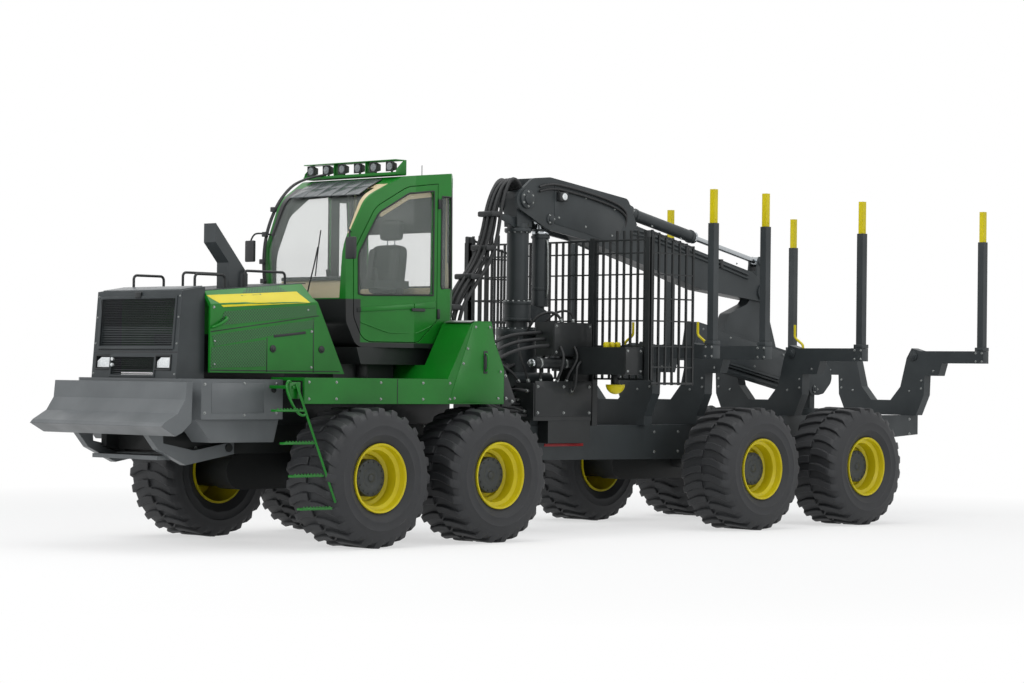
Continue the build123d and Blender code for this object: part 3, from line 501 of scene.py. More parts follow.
# Camera: it stands where the photo was taken from
view = {"place": (22.305, 21.446, 1.693), "yaw": 3.9195, "pitch": 0.0118, "roll": -0.0118,
        "focal": 2814.43, "width": 1024, "sensor": 36.0}
ahead = Vector((math.cos(view["yaw"]) * math.cos(view["pitch"]),
                math.sin(view["yaw"]) * math.cos(view["pitch"]), math.sin(view["pitch"])))
level = ahead.cross(Vector((0, 0, 1))).normalized()
upright = level.cross(ahead).normalized()
right = level * math.cos(view["roll"]) - upright * math.sin(view["roll"])
up = level * math.sin(view["roll"]) + upright * math.cos(view["roll"])
lens = bpy.data.cameras.new("camera")
lens.sensor_width = view["sensor"]
lens.sensor_fit = "HORIZONTAL"
lens.lens = view["sensor"] * view["focal"] / view["width"]
lens.clip_end = 1000
camera = bpy.data.objects.new("camera", lens)
scene.collection.objects.link(camera)
camera.matrix_world = Matrix.Translation(view["place"]) @ Matrix((right, up, -ahead)).transposed().to_4x4()
scene.camera = camera
print("camera set")


# Tyres with the tread that the solids leave out: lugs from the middle to the shoulder on each side
tyreLook = {"radius": 0.6785, "base": 0.647, "halfTread": 0.285, "facets": 72, "lugs": 24, "width": 0.088,
            "wall": ((0.037, 0.043), (0.05, 0.017), (0.045, 0.005), (0.006, 0.004), (0.006, -0.004),
                     (0.075, -0.004), (0.006, 0.004), (0.006, -0.004), (0.078, -0.045)),
            "lugRun": ((0.02, 0.075, 0), (0.03, 0.07, 0), (0.025, 0.055, -0.006), (0.008, 0.038, -0.075))}
axles = {row: (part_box(f"tyre_{row}_left")[0].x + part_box(f"tyre_{row}_left")[1].x) / 2 for row in "1234"}
wheelY, axleZ = 1.215, 0.68


def makeLug(look):
    depth = look["radius"] - look["base"] + 0.02
    lug = startCube((0, 0.05, look["radius"] - depth / 2), (look["width"], 0.09, depth))
    chooseFaces(lug, facing(0, 1, 0))
    pull(*look["lugRun"])
    chooseFaces(lug, facing(0, 0, 1))
    bpy.ops.transform.resize(value=(0.86, 1, 1),
                             center_override=(look["width"] * 0.15, 0.1, look["radius"]))
    return settle(lug, "lug", None, "mouldedRubber", 0.006, 1, 30)


def makeTyre(look):
    clearSelection()
    bpy.ops.mesh.primitive_cylinder_add(vertices=look["facets"], radius=look["base"],
                                        depth=2 * look["halfTread"], rotation=(math.pi / 2, 0, 0))
    tyre = bpy.context.object
    applyPlace()
    chooseFaces(tyre, across(0, 1, 0))
    inset(*look["wall"])
    bpy.ops.mesh.delete(type="FACE")
    settle(tyre, "casing", None, "mouldedRubber", 0.004, 1, 40)
    lug = makeLug(look)
    parts = [tyre]
    for _, side in sides:
        for count in range(look["lugs"]):
            angle = 2 * math.pi * (count + (0.5 if side < 0 else 0)) / look["lugs"]
            parts.append(linkCopy(lug, Matrix.Rotation(angle, 4, "Y") @ Matrix.Diagonal((1, side, 1, 1))))
            if side < 0:
                parts[-1].data.flip_normals()
    bpy.data.objects.remove(lug)
    return joinPieces(parts, "plain_tyre")


plainTyre = makeTyre(tyreLook)
for row, axleX in axles.items():
    for name, side in sides:
        spin = 0.13 * int(row) + (0.2 if side < 0 else 0)
        place = Matrix.Translation((axleX, side * wheelY, axleZ))
        tyre = linkCopy(plainTyre, place @ Matrix.Rotation(spin, 4, "Y"))
        tyre.name = f"lugged_tyre_{row}_{name}"
        tyre.data.name = tyre.name
        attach(tyre, f"wheel_{row}_{name}")
        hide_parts(f"tyre_{row}_{name}")
bpy.data.objects.remove(plainTyre)
print("tyres made")


# Hubs: a dark cover in each dish with a ring of bolts and a cap, and a rolled bead on the rim
hubLook = {"radius": 0.182, "inner": 0.078, "outer": 0.172, "bolts": 14, "ring": 0.155, "lip": 0.331,
           "lipOut": 0.318,
           "steps": ((0.012, 0.006), (0.075, 0.0), (0.004, -0.004), (0.05, 0.0), (0.006, 0.012))}


def addHub(row, name, side, look):
    body = f"wheel_{row}_{name}"
    x = axles[row]
    clearSelection()
    bpy.ops.mesh.primitive_cylinder_add(vertices=40, radius=look["radius"],
                                        depth=look["outer"] - look["inner"],
                                        location=(x, side * (wheelY + (look["outer"] + look["inner"]) / 2),
                                                  axleZ),
                                        rotation=(-side * math.pi / 2, 0, 0))
    hub = bpy.context.object
    applyPlace()
    chooseFaces(hub, facing(0, side, 0))
    inset(*look["steps"])
    settle(hub, f"hub_cover_{row}_{name}", body, grey, 0.002, 1)
    spots = circle(x, side * (wheelY + look["outer"] + 0.006), axleZ, look["ring"], look["bolts"])
    addBolts(f"hub_bolts_{row}_{name}", spots, (0, side, 0), body, 0.009, grey)
    clearSelection()
    bpy.ops.mesh.primitive_torus_add(major_radius=look["lip"], minor_radius=0.007, major_segments=64,
                                     minor_segments=8, location=(x, side * (wheelY + look["lipOut"]),
                                                                 axleZ),
                                     rotation=(math.pi / 2, 0, 0))
    settle(bpy.context.object, f"rim_bead_{row}_{name}", body, yellow, 0, 1, 60)


for row in axles:
    for name, side in sides:
        addHub(row, name, side, hubLook)
print("hubs made")


# Nose: woven screens over the grille bars, frames, latch, small lamps, seams and bolts.
# An opening is its half width, its lower and upper edge, and its middle.
noseLook = {"face": (5.69, 1.62), "top": (5.622, 2.45), "pitch": 0.024, "panel": 0.951,
            "upper": (0.56, 1.925, 2.375, 0), "lower": (0.33, 1.65, 1.82, -0.02),
            "headlamps": (("left", 0.445), ("right", -0.48)),
            "podBolts": ((5.58, 1.57), (5.58, 1.30), (5.1, 1.58), (4.7, 1.58), (4.7, 1.30), (5.1, 1.28))}


def faceX(z):
    share = (z - noseLook["face"][1]) / (noseLook["top"][1] - noseLook["face"][1])
    return noseLook["face"][0] + (noseLook["top"][0] - noseLook["face"][0]) * share


def addScreen(name, opening):
    half, low, high, middle = opening
    wide, tall = int(2 * half / noseLook["pitch"]), int((high - low) / noseLook["pitch"])
    clearSelection()
    bpy.ops.mesh.primitive_grid_add(x_subdivisions=tall, y_subdivisions=wide, size=1)
    screen = bpy.context.object
    drop = faceX(low) - faceX(high)
    screen.scale = (math.hypot(high - low, drop), 2 * half, 1)
    screen.rotation_euler = (0, math.pi / 2 + math.atan2(drop, high - low), 0)
    screen.location = (faceX((low + high) / 2) - 0.014, middle, (low + high) / 2)
    applyPlace()
    chooseFaces(screen, lambda face: True)
    bpy.ops.mesh.poke()
    bpy.ops.mesh.select_all(action="SELECT")
    bpy.ops.mesh.tris_convert_to_quads(face_threshold=math.pi, shape_threshold=math.pi)
    bpy.ops.object.mode_set(mode="OBJECT")
    useModifier(screen, "WIREFRAME", thickness=0.005, use_even_offset=False)
    settle(screen, name, front, black, 0)


# a raised frame round an opening in the nose's face
def addFrame(name, opening, width, material=grey):
    half, low, high, middle = opening
    ring = startCube((faceX((low + high) / 2), middle, (low + high) / 2),
                     (0.018, 2 * (half + width), high - low + 2 * width),
                     (0, -math.atan2(faceX(low) - faceX(high), high - low), 0))
    chooseFaces(ring, across(1, 0, 0))
    inset((width, 0))
    bpy.ops.mesh.bridge_edge_loops()
    settle(ring, name, front, material, 0.003)


for name in ("upper", "lower"):
    addScreen(f"{name}_grille_screen", noseLook[name])
    addFrame(f"{name}_grille_frame", noseLook[name], 0.03 if name == "upper" else 0.022)
for name, middle in noseLook["headlamps"]:
    addFrame(f"headlamp_frame_{name}", (0.105, 1.712, 1.826, middle), 0.018, black)
    x = faceX(1.77)
    glass = addPlate(f"headlamp_lens_{name}",
                     [(x - 0.006, middle - 0.1, 1.72), (x - 0.006, middle + 0.1, 1.72),
                     (x - 0.01, middle + 0.1, 1.818), (x - 0.01, middle - 0.04, 1.818),
                     (x - 0.009, middle - 0.1, 1.78)], 0.006, front, "frostedLens", 0.002)
for count, z in enumerate((1.80, 1.745)):
    addBar(f"nose_marker_lamp_{count + 1}", ((faceX(z) - 0.02, -0.346, z), (faceX(z) + 0.008, -0.346, z)),
           0.017, front, "frostedLens", 20, 0.003, 0.7)
x = faceX(2.42)
addBlock("grille_latch", ((x - 0.004, -0.045, 2.385), (x + 0.022, 0.045, 2.44)), front, black, 0.006)
x = faceX(1.87)
addBlock("nose_seam", ((x - 0.004, -0.645, 1.862), (x + 0.0025, 0.645, 1.874)), front, plastic, 0.001)
addBolts("nose_vent_row", [(faceX(1.895) + 0.002, -0.56 + 0.035 * n, 1.893) for n in range(33)], (1, 0, 0),
         front, 0.008, black)
addBolts("nose_face_bolts",
         [(faceX(z) + 0.001, y, z) for z in (1.66, 1.95, 2.2, 2.4) for y in (-0.625, 0.625)],
         (1, 0, 0), front, 0.008)
addPlate("nose_top_plate",
         [(5.60, -0.60, 2.458), (5.60, 0.60, 2.458), (5.34, 0.60, 2.499), (5.34, -0.60, 2.499)],
         0.012, front, bodyGrey, 0.004)
addSideBolts("nose_side_bolts", atY(noseLook["panel"], *noseLook["podBolts"]), front)
addPair(addPlate, "nose_access_panel",
        atY(noseLook["panel"], (4.86, 1.30), (5.5, 1.30), (5.5, 1.585), (4.86, 1.585)),
        0.005, front, bodyGrey, 0.002)
addPair(addBar, "nose_panel_lock", ((4.74, 0.945, 1.52), (4.74, 0.965, 1.52)), 0.026, front, black, 24,
        0.003, 0.6)
print("nose dressed")


# Hood: stripe, punched panels, seams, slot, discs and grips, all laid on its side
hoodLook = {
    "nose": 5.35, "length": 1.615,
    "stripe": ((5.36, 2.412), (4.238, 2.478), (4.172, 2.37), (5.20, 2.303)),
    "panels": (((5.186, 2.263), (4.10, 2.352), (4.09, 2.249), (5.26, 2.126)),
               ((5.33, 2.034), (4.13, 2.205), (4.14, 2.125), (5.303, 1.929)),
               ((5.333, 1.917), (4.70, 2.0), (4.70, 1.746), (5.34, 1.722))),
    "patch": ((4.95, 2.415), (4.33, 2.463), (4.42, 2.545), (4.83, 2.497)),
    "seams": (((5.345, 2.066), (4.06, 2.246)), ((4.685, 2.02), (4.685, 1.69)),
              ((4.13, 2.22), (4.125, 1.69)), ((5.345, 1.703), (3.80, 1.703))),
    "slot": ((4.606, 2.036), (4.224, 2.079)),
    "discs": ((4.614, 1.916), (4.028, 1.917)),
    "bolts": ((5.30, 1.98), (5.30, 1.76), (4.15, 2.09), (4.15, 1.74), (5.31, 2.30), (4.20, 2.30)),
    "grip": ((5.33, 2.11, 0.0), (5.33, 2.112, 0.03), (5.27, 2.135, 0.045), (5.20, 2.178, 0.045),
             (5.178, 2.199, 0.03), (5.17, 2.203, 0.0)),
    "covers": ((5.34, 4.70), (4.69, 4.02)),
}


# half width and height of the hood's top at a place along it
def hoodTop(x):
    share = (hoodLook["nose"] - x) / hoodLook["length"]
    return 0.645 - 0.055 * share, 2.455 + 0.135 * share


def hoodY(x, z):
    share = (hoodLook["nose"] - x) / hoodLook["length"]
    edgeY, edgeZ = 0.735 + 0.115 * share, 2.33 + 0.06 * share
    topY, topZ = hoodTop(x)
    return edgeY + (topY - edgeY) * min(1, max(0, z - edgeZ) / (topZ - edgeZ))


def onHood(points, lift=0.0):
    return [(x, hoodY(x, z) + lift, z) for x, z in points]


# a narrow strip along a line on the hood's side
def addStrip(name, line, width, lift):
    start, end = line
    dx, dz = end[0] - start[0], end[1] - start[1]
    size = math.hypot(dx, dz)
    ox, oz = -dz / size * width / 2, dx / size * width / 2
    outline = [(start[0] + ox, start[1] + oz), (end[0] + ox, end[1] + oz),
               (end[0] - ox, end[1] - oz), (start[0] - ox, start[1] - oz)]
    addPair(addPlate, name, onHood(outline, lift), 0.003, front, black, 0.0008)


addPair(addPlate, "hood_stripe", onHood(hoodLook["stripe"]), 0.004, front, yellow, 0, 6, "hood")
for count, outline in enumerate(hoodLook["panels"]):
    addPair(addPlate, f"hood_punched_panel_{count + 1}", onHood(outline), 0.004, front, "punchedGreenSheet",
            0, 4, "hood")
for count, line in enumerate(hoodLook["seams"]):
    addStrip(f"hood_seam_{count + 1}", line, 0.009, 0.0005)
addStrip("hood_slot", hoodLook["slot"], 0.026, 0.002)
for count, (x, z) in enumerate(hoodLook["discs"]):
    addPair(addBar, f"hood_lock_{count + 1}", ((x, hoodY(x, z) - 0.01, z), (x, hoodY(x, z) + 0.008, z)),
            0.036, front, black, 28, 0.003, 0.6)
addSideBolts("hood_bolts", onHood(hoodLook["bolts"], 0.001), front, 0.010)
addPair(addPipe, "hood_grip", [(x, hoodY(x, z) + lift, z) for x, z, lift in hoodLook["grip"]], 0.014, front,
        green)
# the sloping shoulder has a punched patch of its own
addPair(addPlate, "hood_shoulder_patch", onHood(hoodLook["patch"]), 0.004, front, "punchedGreenSheet", 0, 4,
        "hood")
# the top cover between the shoulders is grey, in two plates with a seam
for count, (x0, x1) in enumerate(hoodLook["covers"]):
    y0, z0 = hoodTop(x0)
    y1, z1 = hoodTop(x1)
    y0, y1, z0, z1 = y0 - 0.02, y1 - 0.02, z0 + 0.002, z1 + 0.002
    addPlate(f"hood_top_cover_{count + 1}", [(x0, -y0, z0), (x0, y0, z0), (x1, y1, z1), (x1, -y1, z1)],
             0.008, front, grey, 0.003)
print("hood dressed")


# Ladder: one flat stringer with four serrated treads reaching forward, and a loop at its top
ladderLook = {"top": (4.74, 1.285, 1.58), "foot": (4.46, 1.545, 0.46), "steps": 4, "teeth": 9,
              "first": (4.73, 1.285, 1.56), "last": (4.535, 1.55, 0.4)}


def addLadder(look):
    top, foot = Vector(look["top"]), Vector(look["foot"])
    along = foot - top
    stringer = startCube((top + foot) / 2, (0.05, 0.022, along.length),
                         along.to_track_quat("Z", "Y").to_euler())
    parts = [settle(stringer, "stringer", None, green)]
    for step in range(look["steps"]):
        share = (step + 0.75) / 3.78
        x, y, z = (a + (b - a) * share for a, b in zip(look["first"], look["last"]))
        tread = startCube((x + 0.175, y - 0.015, z), (0.38, 0.075, 0.022))
        chooseFaces(tread, facing(0, 0, 1))
        inset((0.01, -0.008))
        parts.append(settle(tread, "tread", None, green, 0.002))
        for tooth in range(look["teeth"]):
            bite = startCube((x + 0.02 + 0.04 * tooth, y + 0.02, z + 0.015), (0.018, 0.006, 0.016))
            parts.append(settle(bite, "tooth", None, green, 0.001, 1))
    ladder = joinPieces(parts, "access_ladder")
    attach(ladder, front)
    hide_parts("ladder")


addLadder(ladderLook)
addPipe("ladder_loop", [(4.76, 1.24, 1.56), (4.80, 1.27, 1.61), (4.86, 1.28, 1.60), (4.87, 1.30, 1.50),
                        (4.80, 1.34, 1.33), (4.72, 1.36, 1.27), (4.68, 1.36, 1.30)], 0.013, front, green)
addBlock("ladder_bracket", ((4.70, 0.945, 1.535), (4.79, 1.29, 1.565)), front, green)
addBlock("ladder_plate", ((4.68, 1.255, 1.44), (4.82, 1.275, 1.60)), front, green)
print("ladder made")


# Side decks and cowl: panel lines, bolts, the recess with its grip and the black bracket behind
deckLook = {"edge": 1.2505, "cowl": 1.2512, "bracket": 1.2,
            "bolts": [(x, z) for x in (2.68, 3.05, 3.62, 4.2, 4.55) for z in (1.60, 1.44)],
            "cover": ((2.70, 1.405), (2.60, 1.63), (2.37, 2.19), (2.33, 2.215), (2.11, 2.215), (2.07, 2.03),
                      (1.925, 1.745), (1.925, 1.405)),
            "coverBolts": ((2.62, 1.45), (2.0, 1.45), (1.97, 1.72), (2.13, 2.17), (2.33, 2.17), (2.5, 1.80),
                           (2.44, 1.95))}
addSideBolts("deck_bolts", atY(deckLook["edge"], *deckLook["bolts"]), front, 0.010)
addPair(addBlock, "deck_joint",
        ((3.395, deckLook["edge"] - 0.003, 1.395), (3.403, deckLook["edge"] + 0.002, 1.64)),
        front, black, 0.0008)
addPair(addPlate, "cowl_side_sheet", atY(deckLook["cowl"], *deckLook["cover"]), 0.005, front, green, 0.002)
addPair(addBlock, "cowl_recess", ((2.16, 1.252, 1.70), (2.215, 1.2585, 1.93)), front, black, 0.003)
addPair(addPipe, "cowl_grip", [(2.1875, 1.255, 1.725), (2.1875, 1.285, 1.735), (2.1875, 1.29, 1.815),
                               (2.1875, 1.285, 1.895), (2.1875, 1.255, 1.905)], 0.009, front, green)
addSideBolts("cowl_bolts", atY(1.2565, *deckLook["coverBolts"]), front, 0.010)
addPair(addPlate, "cowl_rear_bracket", atY(deckLook["bracket"], (1.905, 1.74), (1.905, 1.37), (1.80, 1.37),
                                           (1.70, 1.42), (1.86, 1.74)), 0.03, front, black, 0.004)
addSideBolts("cowl_bracket_bolts", atY(1.23, (1.87, 1.68), (1.86, 1.45), (1.77, 1.42)), front, 0.012)
addPlate("cowl_edge_strip", [(2.409, 0.86, 2.216), (2.409, 1.248, 2.216), (2.333, 1.248, 2.236),
                             (2.333, 0.86, 2.236)], 0.004, front, zinc, 0.001)
print("decks and cowl dressed")


# Cab: its side stands a little further in towards the front
cabLook = {
    "half": 0.8, "corner": 2.76, "slope": 0.2405,
    "window": ((2.50, 2.49), (2.76, 2.485), (3.385, 2.47), (3.39, 2.88), (3.17, 3.30), (2.83, 3.51),
               (2.76, 3.517), (2.50, 3.55), (2.50, 2.49)),
    "quarter": ((2.215, 2.56), (2.39, 2.56), (2.39, 3.50), (2.25, 3.50), (2.215, 2.56)),
    "shade": {"count": 5, "half": 0.53, "gap": 0.012,
              "profile": ((3.285, 3.485), (3.14, 3.573), (2.97, 3.655))},
}


def onCab(points, side, lift):
    return [(x, side * (cabLook["half"] - max(0.0, x - cabLook["corner"]) * cabLook["slope"] + lift), z)
            for x, z in points]


# rubber seal: a cord of short runs pressed round a window
def addSeal(name, route, body, radius=0.009, material="hoseRubber"):
    addPipe(name, route, radius, body, material, 2, 2)


addSeal("door_window_seal", onCab(cabLook["window"], 1, 0.001), "cab_door")
addSeal("right_window_seal", onCab(cabLook["window"], -1, 0.001), front)
addPair(addSeal, "quarter_window_seal",
        [(x, min(0.8, 0.7 + (x - 2.13) * 0.77 + 0.002), z) for x, z in cabLook["quarter"]], front)
doorHandle = addBlock("door_handle", ((2.62, 0.796, 2.32), (2.80, 0.822, 2.352)), "cab_door", plastic,
                      0.008)
chooseFaces(doorHandle, facing(0, 1, 0))
inset((0.007, -0.004))
bpy.ops.object.mode_set(mode="OBJECT")
# the moulded shelf across the door's lower half, and its hinges
addPlate("door_shelf",
         [(2.47, 0.803, 2.36), (2.76, 0.803, 2.345), (2.76, 0.803, 2.40), (2.47, 0.803, 2.43)],
         0.012, "cab_door", "cabEnamel", 0.005)
addPlate("door_shelf_front",
         [(2.765, 0.802, 2.345), (3.40, 0.649, 2.30), (3.40, 0.649, 2.345), (2.765, 0.802, 2.40)],
         0.012, "cab_door", "cabEnamel", 0.005)
addSeal("door_lower_crease",
        [(2.52, 0.801, 2.18), (2.72, 0.801, 2.10), (3.05, 0.733, 2.10), (3.36, 0.658, 2.20)],
        "cab_door", 0.006, green)
for count, z in enumerate((2.30, 3.42)):
    addBar(f"door_hinge_{count + 1}", ((2.425, 0.806, z - 0.05), (2.425, 0.806, z + 0.05)), 0.017, front,
           black, 20)
# beige trim that shows inside the glass
for name, outline in (
    ("door_front", ((3.44, 2.40), (3.45, 2.90), (3.22, 3.34), (3.16, 3.33), (3.37, 2.88), (3.37, 2.40))),
    ("door_top", ((3.16, 3.30), (2.83, 3.52), (2.50, 3.56), (2.50, 3.49), (2.81, 3.45), (3.12, 3.26))),
):
    addPlate(f"{name}_trim", onCab(outline, 1, -0.034), 0.012, "cab_door", beige, 0.004)
addPair(addBlock, "rear_quarter_trim", ((2.20, 0.685, 2.50), (2.225, 0.735, 3.60)), front, beige, 0.008)
addBlock("rear_wall_trim", ((2.185, -0.62, 2.30), (2.205, 0.62, 2.58)), front, beige, 0.006)
addPlate("dash_panel", [(3.44, -0.48, 2.44), (3.44, 0.48, 2.44), (3.40, 0.50, 2.62), (3.40, -0.50, 2.62)],
         0.02, front, beige, 0.006)
addBlock("dash_top", ((3.28, -0.46, 2.62), (3.45, 0.46, 2.66)), front, plastic, 0.012)
addBlock("dash_display", ((3.22, 0.24, 2.62), (3.26, 0.44, 2.78)), front, plastic, 0.008)
# sunshade panels over the top of the windscreen, each with a dark joint beside it
shade = cabLook["shade"]
wide = 2 * shade["half"] / shade["count"]
for count in range(shade["count"]):
    left = -shade["half"] + wide * count + shade["gap"] / 2
    leftTo = left + wide - shade["gap"]
    for part, ((x0, z0), (x1, z1)) in enumerate(zip(shade["profile"][:-1], shade["profile"][1:])):
        addPlate(f"sunshade_{count + 1}_{part + 1}", [(x0, left, z0), (x0, leftTo, z0), (x1, leftTo, z1),
                 (x1, left, z1)], 0.012, front, "sunshadeAcrylic", 0.003)
print("cab body dressed")


# Roof lamps: a bar with six round lamps in dark square housings
lampLook = {"places": (-0.60, -0.36, -0.12, 0.12, 0.36, 0.60), "back": 2.862, "front": 2.945, "z": 3.785,
            "half": 0.052}


def addRoofLamp(count, y, look):
    half, z, face = look["half"], look["z"], look["front"]
    middle = (look["back"] + face) / 2
    housing = startCube((middle, y, z), (face - look["back"], 2 * half, 2 * half))
    chooseFaces(housing, facing(-1, 0, 0))
    bpy.ops.transform.resize(value=(1, 0.6, 0.6), center_override=(look["back"], y, z))
    chooseFaces(housing, facing(1, 0, 0))
    inset((0.009, 0), (0.002, -0.012))
    settle(housing, f"roof_lamp_housing_{count}", front, plastic)
    lamp = addBar(f"roof_lamp_lens_{count}", ((face - 0.014, y, z), (face - 0.002, y, z)), half * 0.78,
                  front, "smokedLens", 32)
    addBar(f"roof_lamp_stem_{count}", ((middle, y, z - half - 0.03), (middle, y, z - half + 0.01)), 0.012,
           front, black, 16)


for count, y in enumerate(lampLook["places"]):
    addRoofLamp(count + 1, y, lampLook)
lampBar = addBlock("roof_lamp_bar", ((2.80, -0.70, 3.695), (2.955, 0.70, 3.725)), front, green, 0.006)
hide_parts("lamps")
addBlock("roof_lamp_top", ((2.80, -0.70, 3.843), (2.95, 0.70, 3.853)), front, green, 0.003)
for count, y in enumerate((-0.24, 0.24)):
    addBlock(f"roof_lamp_web_{count + 1}", ((2.81, y - 0.006, 3.715), (2.94, y + 0.006, 3.846)), front,
             green, 0.002)
addPair(addPlate, "roof_lamp_cheek", atY(0.70, (2.80, 3.70), (2.95, 3.70), (2.93, 3.76), (2.83, 3.852),
                                         (2.80, 3.852)), 0.01, front, green, 0.003)
# rear working lamps, door mirror and its stay
addPair(addBlock, "rear_lamp_housing", ((2.135, 0.58, 3.60), (2.20, 0.70, 3.71)), front, plastic, 0.008)
addPair(addBar, "rear_lamp_lens", ((2.137, 0.64, 3.655), (2.122, 0.64, 3.655)), 0.042, front, "frostedLens",
        28)
addPair(addPipe, "mirror_stay",
        [(3.46, 0.60, 3.10), (3.55, 0.68, 3.12), (3.60, 0.74, 3.10), (3.61, 0.76, 3.02)],
        0.009, front, black)
addPair(addBlock, "mirror", ((3.585, 0.70, 2.82), (3.62, 0.84, 3.04)), front, plastic, 0.012)
addPipe("antenna", [(2.20, 0.30, 3.745), (2.20, 0.30, 3.80), (2.20, 0.30, 3.852)], 0.004, front, black)
addPipe("wiper_arm", [(3.545, 0.05, 2.46), (3.565, 0.10, 2.55), (3.572, 0.20, 2.80), (3.572, 0.24, 2.95)],
        0.007, front, black)
addPipe("wiper_blade", [(3.563, 0.20, 2.66), (3.570, 0.235, 2.90), (3.560, 0.27, 3.12)], 0.006, front,
        "hoseRubber")
# leads and camera boxes up the right front pillar
for count, y in enumerate((-0.585, -0.565)):
    addHose(f"pillar_lead_{count + 1}",
            [(3.50, y - 0.02, 2.30), (3.57, y, 2.55), (3.592, y, 2.9), (3.53, y, 3.2),
                                         (3.36, y, 3.50), (3.10, y, 3.70), (2.93, y + 0.2, 3.74)], 0.022,
            front)
for count, (x, z) in enumerate(((3.585, 2.62), (3.60, 2.82), (3.57, 3.10), (3.46, 3.36))):
    addBlock(f"pillar_clip_{count + 1}", ((x - 0.02, -0.61, z - 0.025), (x + 0.02, -0.545, z + 0.025)),
             front, plastic, 0.006)
# rubber mounts between the pan and the base
for count, x in enumerate((2.42, 3.20)):
    addPair(addBar, f"cab_mount_{count + 1}", ((x, 0.52, 1.65), (x, 0.52, 1.79)), 0.06, front, "hoseRubber",
            28, 0.012)
print("lamps, mirrors and leads made")


# Seat: padded cushion, back and head rest over a moulded base.
# A pad has its two corners, how far it leans, how much its middle swells, its material and its slot.
seatLook = {
    "seat_cushion": ((2.36, -0.25, 2.375), (2.88, 0.25, 2.495), 0.0, 1.12, "wovenSeatFabric",
                     "seat_fabric"),
    "seat_back": ((2.37, -0.235, 2.50), (2.48, 0.235, 3.02), -0.13, 1.2, "wovenSeatFabric", "seat_fabric"),
    "seat_back_bolster_left": ((2.40, 0.125, 2.56), (2.52, 0.215, 2.98), -0.13, 1.05, "seatVinyl", None),
    "seat_back_bolster_right": ((2.40, -0.215, 2.56), (2.52, -0.125, 2.98), -0.13, 1.05, "seatVinyl", None),
    "seat_headrest": ((2.30, -0.145, 3.07), (2.385, 0.145, 3.285), -0.05, 1.15, "seatVinyl", "seat_fabric"),
}


def addPad(name, low, high, lean, crown, material, slot):
    low, high = Vector(low), Vector(high)
    middle = (low + high) / 2
    pad = startCube(middle, high - low)
    bpy.ops.object.mode_set(mode="EDIT")
    bpy.ops.mesh.select_all(action="SELECT")
    bpy.ops.mesh.subdivide(number_cuts=3)
    bpy.ops.mesh.vertices_smooth(factor=0.35, repeat=1)
    axis = min(range(3), key=lambda i: high[i] - low[i])
    chooseFaces(pad, lambda face: abs(face.normal[axis]) > 0.8
                and (face.calc_center_median() - middle).length < 0.36 * (high - low).length)
    swell = [1.0, 1.0, 1.0]
    swell[axis] = crown
    bpy.ops.transform.resize(value=swell, center_override=middle)
    bpy.ops.mesh.select_all(action="SELECT")
    bpy.ops.transform.rotate(value=-lean, orient_axis="Y", center_override=(low.x, middle.y, low.z))
    bpy.ops.object.mode_set(mode="OBJECT")
    useModifier(pad, "SUBSURF", levels=2, render_levels=2)
    settle(pad, name, front, material, 0, 1, 80)
    return pad


for name, look in seatLook.items():
    pad = addPad(name, *look)
    if name == "seat_cushion":
        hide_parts("seat")
addPair(addBar, "headrest_post", ((2.345, 0.055, 2.98), (2.345, 0.055, 3.10)), 0.008, front, chrome, 16)
addBar("seat_post", ((2.60, 0, 1.995), (2.60, 0, 2.34)), 0.09, front, plastic, 32, 0.01)
addBlock("seat_base", ((2.37, -0.24, 2.31), (2.86, 0.24, 2.385)), front, plastic, 0.02)
print("seat made")

# Crane column, head and cylinders: collars, bolts, bands and a feed pipe
columnX, liftX = 0.463, 0.11
collars = (
    ("column_collar_1", 2.275, 2.31, 0.158, "crane_column", grey, 40, 0.006),
    ("column_collar_2", 2.455, 2.49, 0.157, "crane_column", grey, 40, 0.006),
    ("column_top_flange", 3.245, 3.285, 0.148, "crane_column", grey, 40, 0.006),
    ("slew_bearing_ring", 2.12, 2.19, 0.232, rear, grey, 48, 0.008),
    ("lift_cylinder_band_1", 3.235, 3.265, 0.097, "lift_barrel", chrome, 36, 0.004),
    ("lift_cylinder_band_2", 3.19, 3.22, 0.104, "lift_barrel", grey, 36, 0.004),
    ("lift_cylinder_band_3", 2.62, 2.65, 0.098, "lift_barrel", grey, 36, 0.004),
)
for name, low, high, radius, body, material, corners, bevel in collars:
    x = liftX if body == "lift_barrel" else columnX
    addBar(name, ((x, 0, low), (x, 0, high)), radius, body, material, corners, bevel)
addBolts("column_collar_bolts", circle(columnX, 0, 2.49, 0.138, 14, True), (0, 0, 1), "crane_column", 0.012)
addBolts("column_top_bolts", circle(columnX, 0, 3.245, 0.134, 12, True), (0, 0, -1), "crane_column", 0.011)
addBolts("slew_bearing_bolts", circle(columnX, 0, 2.19, 0.22, 18, True), (0, 0, 1), rear, 0.010)
addBolts("crane_base_bolts", [(x, y, 1.2005) for x in (0.21, 0.33, 0.55, 0.665) for y in (-0.385, 0.385)],
         (0, 0, 1), rear, 0.018)
addPipe("lift_cylinder_feed",
        [(liftX, y, z) for y, z in ((0.10, 2.55), (0.125, 2.58), (0.118, 2.9), (0.118, 3.10),
                                                          (0.10, 3.17))], 0.012, "lift_barrel", zinc)

